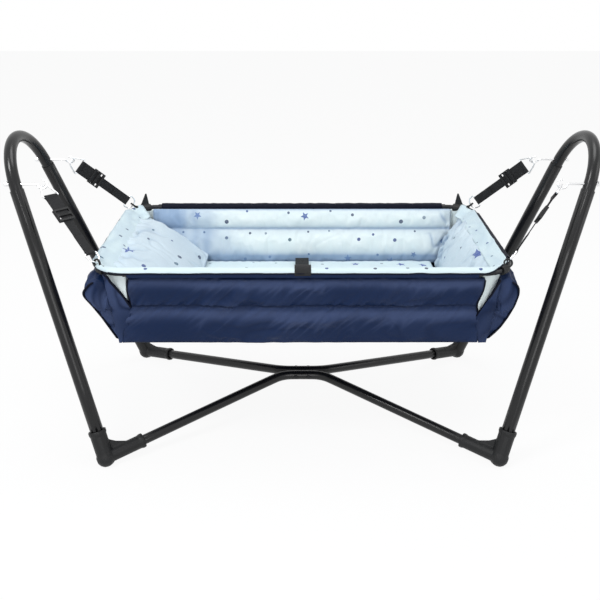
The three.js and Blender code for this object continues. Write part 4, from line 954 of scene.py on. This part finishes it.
def startEndWall(endName, sx, wall):
    line = [(wall["foot"][0] + deep * wall["reach"][0], 0, wall["foot"][1] + high * wall["reach"][1])
            for high, deep in wall["outer"][sx] + wall["inner"]]
    line, around = evenLine(line + [line[0]], wall["cell"], 1)
    last = len(line) - 1
    middle = sum(line[:-1], Vector()) / last
    rows = wall["bodyRows"] + 2 * wall["capRows"]
    corners = {}

    def place(u, v):
        point = line[int(round(u * last)) % last].copy()
        row = int(round(v * rows))
        over = max(wall["capRows"] - row, row - wall["capRows"] - wall["bodyRows"], 0) / wall["capRows"]
        share = clamped((row - wall["capRows"]) / wall["bodyRows"]) * 2 - 1
        rise = (point.z - wall["foot"][1]) / wall["reach"][1]
        half = between(wall["halfFoot"], wall["halfTop"], rise)
        sunk = abs(share) ** 10 * wall["drawIn"] * rise
        inset = wall["shrink"] + wall["cornerShrink"] * abs(share) ** 24
        point += (middle - point).normalized() * inset
        point = point.lerp(middle, over)
        sign = 1 if share > 0 else -1
        out = Vector((sx * point.x, share * half + sign * wall["bulge"] * math.sin(over * math.pi / 2),
                      point.z - sunk))
        corners[tuple(round(c, 6) for c in out)] = over == 0 and abs(share) > 0.999
        return out

    size = (around, 2 * wall["halfTop"] + wall["capWidth"])
    piece = bentSheet(endName + "_end_wall_cloth", last, rows, place, size, joined=True)
    highest = wall["foot"][1] + wall["reach"][1] - wall["heldTop"]
    lowest = wall["foot"][1] + wall["heldFoot"]
    spots = [vert.co for vert in piece.data.vertices]
    held = [corners.get(tuple(round(c, 6) for c in spot), False) or not lowest <= spot.z <= highest
            for spot in spots]
    holdPoints(piece, np.array(held))
    return piece


paddedJobs, boards = [], {}


def cutOut(node, plan, finish, faces, seed, flip=1):
    board = {**boardBasics, **plan, "node": node, "faces": faces, "seed": seed, "finish": finish}
    board["corners"] = [Vector((x, y * flip, z)) for x, y, z in plan["corners"]]
    for corner, shift in board["shifts"].items():
        board["corners"][corner].x += shift
    boards[node] = board
    piece = startBoard(board.get("title", node) + "_cloth", board)
    holdSeams(piece, board)
    paddedJobs.append((piece, board))


for sideName, panel, liner in (("front", frontPanel, frontLiner), ("rear", outerPanel, rearLiner)):
    sy = sideSigns[sideName]  # the boards are written for the front, and the rear ones are flipped
    cutOut(sideName + "_panel", panel, navyPanels, (0, sy, 0), 3.1 - sy, -sy)
    cutOut(sideName + "_liner", liner, linerCloth, (0, -sy, 0), 8.4 - sy, -sy)
for endName, pad in (("left", headPad), ("right", footPad)):
    cutOut(endName + "_end_pad", pad, padCloth, (-endSigns[endName], 0, 1), 13.7 + 2 * endSigns[endName])
cutOut("mattress", mattressPad, mattressCloth, (0, 0, 1), 17.2)
cutOut("floor_panel", floorBoard, navyPanels, (0, 0, 1), 19.9)
endWalls = {endName: startEndWall(endName, sx, endWall) for endName, sx in endSigns.items()}
print("padded pieces cut out")
fillTogether(paddedJobs + [(piece, endWall) for piece in endWalls.values()])
print("padded pieces filled")
for piece, board in paddedJobs:
    finishPadded(piece, board)
for endName, piece in endWalls.items():
    sx = endSigns[endName]
    subdivided(piece)
    crumple(piece, dict(wallFolds, seed=endWall["seed"][sx], paintedHighlight=endWall["paintedHighlight"][sx]))
    finishPiece(piece, navyPanels, "navy", [endName + "_end_wall"])
print("padded pieces puckered and sewn")

# sleeves round the rails, the pale cuff over the rim and its binding

railSleeve = {"alongX": True, "half": 0.405, "out": 0.262, "height": 0.503, "radius": 0.0116, "fold": 0.0011,
              "rate": 62, "seed": 4, "cells": (180, 22), "flat": (0.81, 0.073), "uvSize": (0.81, 0.075)}
endSleeve = {"alongX": False, "half": 0.178, "out": 0.49, "height": 0.503, "radius": 0.0096, "fold": 0.0007,
             "rate": 55, "seed": 5, "cells": (80, 18), "flat": (0.356, 0.06), "uvSize": (0.356, 0.06)}
sleeveCloth = {"thickness": 0.0012, "roundRate": 1.3}


def makeSleeve(name, sign, plan, material, replaced):
    def laid(along, across, up):
        return Vector((along, across, up)) if plan["alongX"] else Vector((across, along, up))

    def place(u, v):
        turn = 2 * math.pi * v
        along = (2 * u - 1) * plan["half"]
        roundRate = sleeveCloth["roundRate"]
        gather = noise.noise(laid(along * plan["rate"], math.cos(turn) * roundRate + plan["seed"] * sign,
                                  math.sin(turn) * roundRate))
        reach = plan["radius"] + plan["fold"] * gather
        out = sign * plan["out"] + reach * math.cos(turn)
        return laid(along, out, plan["height"] + reach * math.sin(turn))

    piece = bentSheet(name, *plan["cells"], place, plan["uvSize"], joined=True)
    addThickness(piece, sleeveCloth["thickness"], -1)
    finishPiece(piece, material, "navy", [replaced])


rimCuff = {  # each first value is for the front, the next for the ends; angles are degrees above outward
    "halfLength": 0.49, "halfWidth": 0.262, "bend": 0.075, "bendSteps": 12, "height": 0.503,
    "radius": (0.0128, 0.0106), "innerReach": (0.0143, 0.048, 0.0405), "innerDrop": (0.001, 0.016, 0.0165),
    "frontEnd": 14, "leftEnd": 24, "rightEnd": 110, "turning": 1.15, "edgeWave": (0.09, 30, 3.3),
    "step": 0.007, "rows": 12, "trim": 0.055, "fold": 0.0013, "rate": 44, "thickness": 0.0014,
    "binding": 0.0019, "bindingStep": 0.006, "foldsFrom": (0.43, 0.03),
    "ringSpot": (0.4835, 0.2175), "ringRoom": 0.018,
    "drawnRadius": 0.0084, "flat": (1.98, 0.06), "area": 0.0912, "uvWidth": 0.05,
}
# painted shade in each fold of the cuff and over its ends
cuffFolds = {"broad": (16, 8, 16), "fine": (24, 13, 24), "drift": 1.4, "sharp": 2.4, "waves": 0.0016,
             "folds": 0.002, "tone": 0.2, "shade": 0.04, "paintedHighlight": 0, "seed": 6.1}


def rimStations(plan):  # round the rim from the rear left corner by way of the left end and the front
    line = []
    centreX, centreY = plan["halfLength"] - plan["bend"], plan["halfWidth"] - plan["bend"]
    for sx, sy, first in ((-1, 1, 90), (-1, -1, 180), (1, -1, 270), (1, 1, 360)):
        centre = Vector((sx * centreX, sy * centreY, 0))
        for number in range(plan["bendSteps"] + 1):
            turn = math.radians(first + number * 90 / plan["bendSteps"])
            line.append(centre + Vector((math.cos(turn), math.sin(turn), 0)) * plan["bend"])
    even, length = evenLine(line, plan["step"])
    skipped = int(plan["trim"] / plan["step"])
    even = even[skipped:-skipped]
    stations = []
    for index, point in enumerate(even):
        run = even[min(index + 1, len(even) - 1)] - even[max(index - 1, 0)]
        outward = Vector((run.y, -run.x, 0)).normalized()
        stations.append((point + Vector((0, 0, plan["height"])), outward))
    return stations, length


def drawnTight(at, plan):  # 1 below the ring at a bend of the rim, where the cuff leaves it room to swing
    away = math.hypot(abs(at.x) - plan["ringSpot"][0], abs(at.y) - plan["ringSpot"][1]) / plan["ringRoom"]
    return math.exp(-away ** 4)


def cuffPlace(plan, stations, index, v):
    point, outward = stations[index]
    endness = min(abs(outward.x) * plan["turning"], 1)
    endness = endness * endness * (3 - 2 * endness)
    side = 1 if point.x < 0 else 2
    tight = drawnTight(point, plan)
    radius = between(between(*plan["radius"], endness), plan["drawnRadius"], tight)
    reach, drop = (between(plan[key][0], plan[key][side], endness) for key in ("innerReach", "innerDrop"))
    last = math.radians(between(plan["frontEnd"], plan["leftEnd" if point.x < 0 else "rightEnd"], endness))
    along = index * plan["step"]
    wave, waveRate, waveSeed = plan["edgeWave"]
    last += wave * noiseAt(along * waveRate, waveSeed, 0)
    away = math.hypot(reach, drop)
    first = math.pi + math.atan2(drop, reach) - math.acos(min(radius / away, 1))
    tail = math.sqrt(max(away * away - radius * radius, 0))
    run = v * (tail + radius * (first - last))
    turn = first - max(run - tail, 0) / radius
    lift = Vector((math.cos(turn), math.sin(turn)))
    spot = lift * radius
    if run < tail:
        spot = Vector((-reach, -drop)).lerp(spot, run / tail)
    gather = noiseAt(along * plan["rate"], v * 1.6, 7.7)
    spot = spot + lift * plan["fold"] * (gather + 0.3) * (0.4 + 0.6 * v) * (1 - tight)
    return point + outward * spot.x + Vector((0, 0, spot.y))


def makeRimCuff(plan):
    stations, length = rimStations(plan)
    last = len(stations) - 1
    foldsFrom, foldsOver = plan["foldsFrom"]

    def place(u, v):
        return cuffPlace(plan, stations, int(round(u * last)), v)

    def where(at):
        return clamped((abs(at.x) - foldsFrom) / foldsOver) * (1 - drawnTight(at, plan))

    piece = bentSheet("rim_cuff", last, plan["rows"], place, (length, plan["uvWidth"]))
    crumple(piece, dict(cuffFolds, where=where))
    addThickness(piece, plan["thickness"])
    edge = [cuffPlace(plan, stations, index, 1) for index in range(last + 1)]
    binding = rolledCord("rim_binding", edge, plan["binding"], plan["bindingStep"])
    finishPiece(piece, cuffCloth, "liner")


gusset = {  # cloth that closes the corner below the slit; near and far are x and top, and near has a spread
    "near": {-1: (0.4035, 0.412, 0.0335), 1: (0.412, 0.387, 0.0125)},
    "far": {-1: (0.461, 0.494), 1: (0.4585, 0.488)},
    "farFoot": 0.443, "bow": {-1: 1.5, 1: 1.0}, "rise": {-1: 0.0075, 1: 0.0}, "riseFrom": (0.72, 0.1),
    "foot": 0.3155, "lean": (0.240, 0.1207, 0.0025), "leanFrom": 0.314, "swell": 0.006, "cells": (16, 40),
    "thickness": 0.003, "edge": 0.0031, "edgePoints": 24, "edgeStep": 0.004, "uvSize": (0.05, 0.15),
    "flat": {-1: (0.06, 0.182), 1: (0.05, 0.175)}, "area": {-1: 0.0063, 1: 0.0048},
    # the crest is a painted highlight on each gusset
    "paintedHighlight": {-1: 0.8, 1: 0.5},
}
gussetFolds = dict(wallFolds, waves=0.002, folds=0.003)
cornerLining = {  # gathered lining round each bend of the rim, above the floor
    "centre": (0.415, 0.187), "reach": 0.0675, "lowReach": (0.02, 0.056), "height": (0.500, 0.355),
    "fold": 0.0022, "rate": 3.4, "bow": 0.0065, "cells": (30, 34), "thickness": 0.002,
    "flat": (0.098, 0.147), "uvSize": (0.09, 0.15), "crease": 0.05, "creaseRate": 60,
}
panelPiping = {"from": 0.03, "points": 8, "step": 0.005}


def makeWallPiping(corner, sx, sy, wall):  # the dark cord in the outer seam of each wing
    points, middle = [], Vector(wall["middle"])
    for high, deep in wall["outer"][sx]:
        half = between(wall["halfFoot"], wall["halfTop"], high)
        spot = Vector((wall["foot"][0] + deep * wall["reach"][0], wall["foot"][1] + high * wall["reach"][1]))
        spot += (middle - spot).normalized() * wall["pipingIn"]
        points.append((sx * spot.x, sy * half, spot.y - wall["drawIn"] * high))
    rolledCord(corner + "_wall_piping", points, wall["piping"], wall["pipingStep"], 1)


def makePanelPiping(corner, sx, plan):  # the dark cord down the short edge of the panel beside the slit
    board = boards[corner.split("_")[1] + "_panel"]
    panelTop, panelFoot = outerPanel["corners"][0][2], outerPanel["corners"][2][2]
    low = (panelTop - gusset["near"][sx][1]) / (panelTop - panelFoot)
    points = [boardPoint(board, (sx + 1) // 2, between(plan["from"], low, step / plan["points"]))
              for step in range(plan["points"] + 1)]
    rolledCord(corner + "_panel_piping", points, gusset["edge"], plan["step"], 1)


def makeGusset(corner, sx, sy, plan):
    nearX, nearTop, spread = plan["near"][sx]
    farX, farTop = plan["far"][sx]
    base, slope, proud = plan["lean"]
    riseFrom, riseOver = plan["riseFrom"]

    def place(u, v):
        top = between(nearTop, farTop, 1 - (1 - u) ** plan["bow"][sx])
        top += plan["rise"][sx] * clamped((u - riseFrom) / riseOver)
        z = between(top, plan["foot"], v)
        x = (nearX + spread * v ** 1.4) * (1 - u) + between(farX, plan["farFoot"], v) * u
        swell = plan["swell"] * math.sin(math.pi * u) * math.sin(math.pi * min(v + 0.12, 1))
        return Vector((sx * x, sy * (base + (z - plan["leanFrom"]) * slope + proud + swell), z))

    points = [place(step / plan["edgePoints"], 0) for step in range(plan["edgePoints"] + 1)]
    edge = rolledCord(corner + "_gusset_edge", points, plan["edge"], plan["edgeStep"])
    piece = bentSheet(corner + "_gusset", *plan["cells"], place, plan["uvSize"])
    crumple(piece, dict(gussetFolds, seed=3 * sx + sy, paintedHighlight=plan["paintedHighlight"][sx]))
    addThickness(piece, plan["thickness"])
    finishPiece(piece, navyPanels, "navy")


def makeCornerLining(corner, sx, sy, plan):
    def place(u, v):
        turn = math.pi / 2 * (u * 1.1 - 0.05)
        wide, deep = (between(plan["reach"], low, v) for low in plan["lowReach"])
        deep += plan["bow"] * math.sin(math.pi * min(v * 1.4, 1))
        fold = noiseAt(u * plan["rate"] * 3, v * 1.2, 3 * sx + sy)
        fine = noiseAt(u * plan["rate"] * 8, v * 2.2, 5 * sx + sy)
        sunk = plan["fold"] * (1.2 * fold + 0.6 * fine + 0.6)
        x = plan["centre"][0] + (wide - sunk) * math.cos(turn)
        y = plan["centre"][1] + (deep - sunk) * math.sin(turn)
        return Vector((sx * x, sy * y, between(*plan["height"], v)))

    piece = bentSheet(corner + "_corner_lining", *plan["cells"], place, plan["uvSize"])
    # painted shade in small patches over the lining
    tones = [max(0, noise.noise(Vector(p) * plan["creaseRate"])) for p in readPlaces(piece.data)]
    storeValue(piece.data, "crease", [plan["crease"] * tone for tone in tones])
    addThickness(piece, plan["thickness"])
    finishPiece(piece, linerCloth, "liner")


for corner, (sx, sy) in cornerSigns.items():
    makeGusset(corner, sx, sy, gusset)
    makeWallPiping(corner, sx, sy, endWall)
    makePanelPiping(corner, sx, panelPiping)
    makeCornerLining(corner, sx, sy, cornerLining)
for sideName, sy in sideSigns.items():
    makeSleeve(sideName + "_rail_sleeve", sy, railSleeve, navyPanels if sideName == "front" else navyBinding,
               sideName + "_panel")
for endName, sx in endSigns.items():
    makeSleeve(endName + "_end_sleeve", sx, endSleeve, navyBinding, endName + "_end_wall")
makeRimCuff(rimCuff)
print("sleeves, cuff and binding made")

# webbing: the belt and the four straps, woven flat and folded round their bars

webbingFinish = {
    "dark": (0.0045, 0.0046, 0.005, 1), "rib": (0.017, 0.0175, 0.019, 1), "worn": (0.03, 0.031, 0.034, 1),
    "zigzag": 0.0031, "ribs": 620, "ribShare": 0.8, "wornShare": 0.5, "rough": (0.55, 0.75),
    "specular": 0.22, "threads": {"Threads per Metre": 1500.0, "Slub": 0.2},
    "scales": {"Broad Scale": 30.0, "Grain Scale": 900.0},
    "ribBump": (0.7, 0.0004), "threadBump": (0.3, 0.0001),
}


def webbingMaterial(finish):
    material, tree, shader = newMaterial("blackWebbing")
    place = addNode(tree, "ShaderNodeUVMap", uv_map="cloth").outputs["UV"]
    x, y, _ = feed(tree, addNode(tree, "ShaderNodeSeparateXYZ"), {0: place}).outputs
    slanted = calc(tree, "ADD", x, calc(tree, "PINGPONG", y, finish["zigzag"]))
    rib = ridges(tree, slanted, math.pi * finish["ribs"])
    weave = placeGroup(tree, clothWeave, place, finish["threads"])
    change = placeGroup(tree, surfaceVariation, place, finish["scales"])
    tone = mixColour(tree, times(tree, rib, finish["ribShare"]), finish["dark"], finish["rib"])
    worn = times(tree, change["Broad"], finish["wornShare"])
    feed(tree, shader, {"Base Color": mixColour(tree, worn, tone, finish["worn"]),
                        "Roughness": ranged(tree, change["Grain"], *grainSpan, *finish["rough"]),
                        "Specular IOR Level": finish["specular"]})
    addBumps(tree, shader, (rib, *finish["ribBump"]), (weave["Height"], *finish["threadBump"]))
    return material


blackWebbing = webbingMaterial(webbingFinish)
webbingEdge = {"strands": 8, "width": 0.3, "segments": 2, "angle": 60}


def webbingAlong(name, path, across, width, thickness, step, softened):
    line, length = evenLine(path, step, softened)
    last = len(line) - 1

    def place(u, v):
        return line[int(round(u * last))] + across * ((v - 0.5) * width)

    piece = bentSheet(name, last, webbingEdge["strands"], place, (length, width))
    addThickness(piece, thickness)
    rim = piece.modifiers.new("selvedge", "BEVEL")
    rim.width = thickness * webbingEdge["width"]
    rim.segments = webbingEdge["segments"]
    rim.limit_method = "ANGLE"
    rim.angle_limit = math.radians(webbingEdge["angle"])
    return piece


mattressBelt = {  # its route is y and z, from its rear end on the mattress to its seen end over the rim
    "width": 0.038, "thickness": 0.0018, "step": 0.005,
    "route": [(0.1787, 0.3762), (-0.150, 0.3762), (-0.176, 0.379), (-0.188, 0.392), (-0.2305, 0.494),
              (-0.2365, 0.511), (-0.2465, 0.5182), (-0.262, 0.5192), (-0.2725, 0.5145), (-0.2768, 0.506),
              (-0.2762, 0.5015)],
}
belt = webbingAlong("mattress_belt", [(0, y, z) for y, z in mattressBelt["route"]], Vector((1, 0, 0)),
                    mattressBelt["width"], mattressBelt["thickness"], mattressBelt["step"], 1)
finishPiece(belt, blackWebbing, "web", ["belt"])

hangerPlan = {  # turn in half turns; stub is width and end, strap is width, start and stitched end
    "pivot": (0.611365, 0.128815, 0.668585), "tabPivot": (0.482038, 0.229166, 0.519179),
    "hookEye": (0.618, 0.1238, 0.676), "railCorner": (0.468, 0.240, 0.503),
    "turn": {"left_rear": 0.245, "right_rear": -0.245, "left_front": 0.25, "right_front": 0.01},
    "topBar": -0.025, "lowBar": -0.1966, "barReach": 0.0034, "neck": 2.4, "gap": 0.0008, "thickness": 0.0014,
    "stub": (0.036, -0.079), "strap": (0.0245, -0.061, -0.1446), "parting": 0.006, "step": 0.0025,
}


def hangerFrame(corner):  # the pivot, the pull of the strap, the way its face looks and the way across it
    sx, sy = cornerSigns[corner]
    mirror = Vector((sx, sy, 1))
    top, low, hook, rail = (Vector(hangerPlan[spot]) * mirror
                            for spot in ("pivot", "tabPivot", "hookEye", "railCorner"))
    pull = (hook - rail).normalized()
    outward = Vector((sx, 0, 0))
    raised = (pull - outward * pull.dot(outward)).normalized()
    aside = outward.cross(raised)
    up = (top - low).normalized()
    level = (outward - up * outward.dot(up)).normalized()
    turn = hangerPlan["turn"][corner] * math.pi
    out = level * math.cos(turn) + aside * math.sin(turn)
    return top, up, out, up.cross(out)


def loopPath(bar, towards):  # round the bar of a ring, from one layer of the webbing to the other
    gap, reach = hangerPlan["gap"], hangerPlan["barReach"]
    neck = bar + towards * hangerPlan["neck"] * reach
    turns = [math.radians(-45 + number * 270 / 8) for number in range(9)]
    path = [(reach * math.cos(turn), bar - towards * reach * math.sin(turn)) for turn in turns]
    return [(gap, neck)] + path + [(-gap, neck)]


def makeStraps(corner):
    top, up, out, across = hangerFrame(corner)
    gap = hangerPlan["gap"]
    width, stubEnd = hangerPlan["stub"]
    stub = [(gap, stubEnd)] + loopPath(hangerPlan["topBar"], -1) + [(-gap, stubEnd)]
    narrow, start, stitched = hangerPlan["strap"]
    strap = [(0, start), (0, stitched + hangerPlan["parting"]), (gap, stitched)]
    strap += loopPath(hangerPlan["lowBar"], 1) + [(-gap, stitched)]
    for title, path, size in (("stub", stub, width), ("webbing", strap, narrow)):
        route = [top + out * x + up * y for x, y in path]
        piece = webbingAlong(corner + "_strap_" + title, route, across, size, hangerPlan["thickness"],
                             hangerPlan["step"], 0)
        finishPiece(piece, blackWebbing, "web", [corner + "_strap"], corner + "_hanger")


sliderPlan = {  # each bar is its shift from the middle and its length along the strap
    "middle": -0.082, "width": 0.043, "length": 0.034, "thickness": 0.009, "sideWall": 0.0032,
    "barThick": 0.0026, "bars": [(-0.0142, 0.0056), (0.0, 0.0078), (0.0142, 0.0056)], "bevel": 0.0009,
    "ribs": 4, "ribPitch": 0.0019, "ribSize": (0.0014, 0.0009), "ribLength": 0.62, "ribSunk": 0.0002,
    "ribBevel": 0.0003,
}


def addBox(made, size, place, frame, bevel):
    box = bmesh.ops.create_cube(made, size=1)["verts"]
    bmesh.ops.scale(made, vec=size, verts=box)
    edges = list({edge for vert in box for edge in vert.link_edges})
    cut = bmesh.ops.bevel(made, geom=edges, offset=bevel, offset_type="OFFSET", segments=2, profile=0.5,
                          affect="EDGES", material=-1)
    verts = list({vert for face in cut["faces"] for vert in face.verts})
    bmesh.ops.translate(made, vec=place, verts=verts)
    bmesh.ops.transform(made, matrix=frame, verts=verts)


def makeSlider(corner, plan):
    top, up, out, across = hangerFrame(corner)
    frame = Matrix.Translation(top) @ Matrix((out, up, across)).transposed().to_4x4()
    made = bmesh.new()
    deep, middle, barWidth = plan["thickness"], plan["middle"], plan["width"] - plan["sideWall"]
    for side in (-1, 1):
        addBox(made, (deep, plan["length"], plan["sideWall"]), (0, middle, side * barWidth / 2), frame,
               plan["bevel"])
        for shift, long in plan["bars"]:
            place = (side * (deep - plan["barThick"]) / 2, middle + shift, 0)
            addBox(made, (plan["barThick"], long, barWidth), place, frame, plan["bevel"])
        for rib in range(plan["ribs"]):
            shift = (rib - (plan["ribs"] - 1) / 2) * plan["ribPitch"]
            place = (side * (deep / 2 - plan["ribSunk"]), middle + shift, 0)
            size = (*plan["ribSize"], plan["width"] * plan["ribLength"])
            addBox(made, size, place, frame, plan["ribBevel"])
    piece = addObject(corner + "_slider_buckle", meshFrom(made, corner + "_slider_buckle"))
    finishPiece(piece, mouldedPlastic, "plastic", [corner + "_slider"], corner + "_slider", smooth=False)


for corner in cornerSigns:
    makeStraps(corner)
    makeSlider(corner, sliderPlan)
print("belt, straps and sliders made")

# moulded, plated and painted pieces: the plain solids with their edges rounded over

roundedFinishes = {  # by the end of the node's name
    "_elbow": {"voxel": 0.0017, "steps": 7, "material": mouldedPlastic, "slot": "plastic"},
    "_tab": {"voxel": 0.001, "steps": 3, "material": mouldedPlastic, "slot": "plastic"},
    "_hook": {"voxel": 0.0007, "steps": 6, "material": brightPlate, "slot": "chrome"},
    "_ring": {"voxel": 0.00062, "steps": 5, "material": brightPlate, "slot": "chrome"},
}
tubeFinish = {"material": tubePaint, "slot": "tube", "levels": 2, "crisp": 45, "flatWithin": 30,
              "squareWithin": 60, "smoothWithin": 40}


def mergedCopy(name):
    made = bmesh.new()
    made.from_mesh(nodes[name].data)
    bmesh.ops.transform(made, matrix=nodes[name].matrix_world, verts=made.verts)
    bmesh.ops.remove_doubles(made, verts=made.verts, dist=1e-6)
    return made


def bodyOf(name):
    if name.endswith("_ring"):
        return "_".join(name.split("_")[:2]) + "_hanger"
    return "cradle" if name.endswith("_tab") else "stand"


def roundOver(name, finish):
    piece = addObject(name + "_rounded", meshFrom(mergedCopy(name), name + "_rounded"))
    melt = piece.modifiers.new("voxels", "REMESH")
    melt.mode = "VOXEL"
    melt.voxel_size = finish["voxel"]
    smooth = piece.modifiers.new("softer", "SMOOTH")
    smooth.factor = 0.5
    smooth.iterations = finish["steps"]
    applied(piece)
    finishPiece(piece, finish["material"], finish["slot"], [name], bodyOf(name))


def roundTube(name, finish):  # merged, made four-sided again and subdivided, with its cut ends kept crisp
    made = mergedCopy(name)
    bmesh.ops.join_triangles(made, faces=made.faces, angle_face_threshold=math.radians(finish["flatWithin"]),
                             angle_shape_threshold=math.radians(finish["squareWithin"]))
    crisp = made.edges.layers.float.new("crease_edge")
    for edge in made.edges:
        if len(edge.link_faces) != 2 or edge.calc_face_angle() > math.radians(finish["crisp"]):
            edge[crisp] = 1
    piece = addObject(name + "_rounded", meshFrom(made, name + "_rounded"))
    subdivided(piece, finish["levels"])
    finishPiece(piece, finish["material"], finish["slot"], [name], "stand")
    piece.data.set_sharp_from_angle(angle=math.radians(finish["smoothWithin"]))


for name in list(nodes):
    if name.endswith(("_arch", "_leg", "_base_tube")):
        roundTube(name, tubeFinish)
    for ending, finish in roundedFinishes.items():
        if name.endswith(ending):
            roundOver(name, finish)
print("moulded, plated and painted pieces rounded")

for name, node in nodes.items():
    chosen = brightPlate if name.endswith("_hook_nut") else railPaint
    for slot in node.material_slots:
        slot.material = chosen
print("finishes placed")
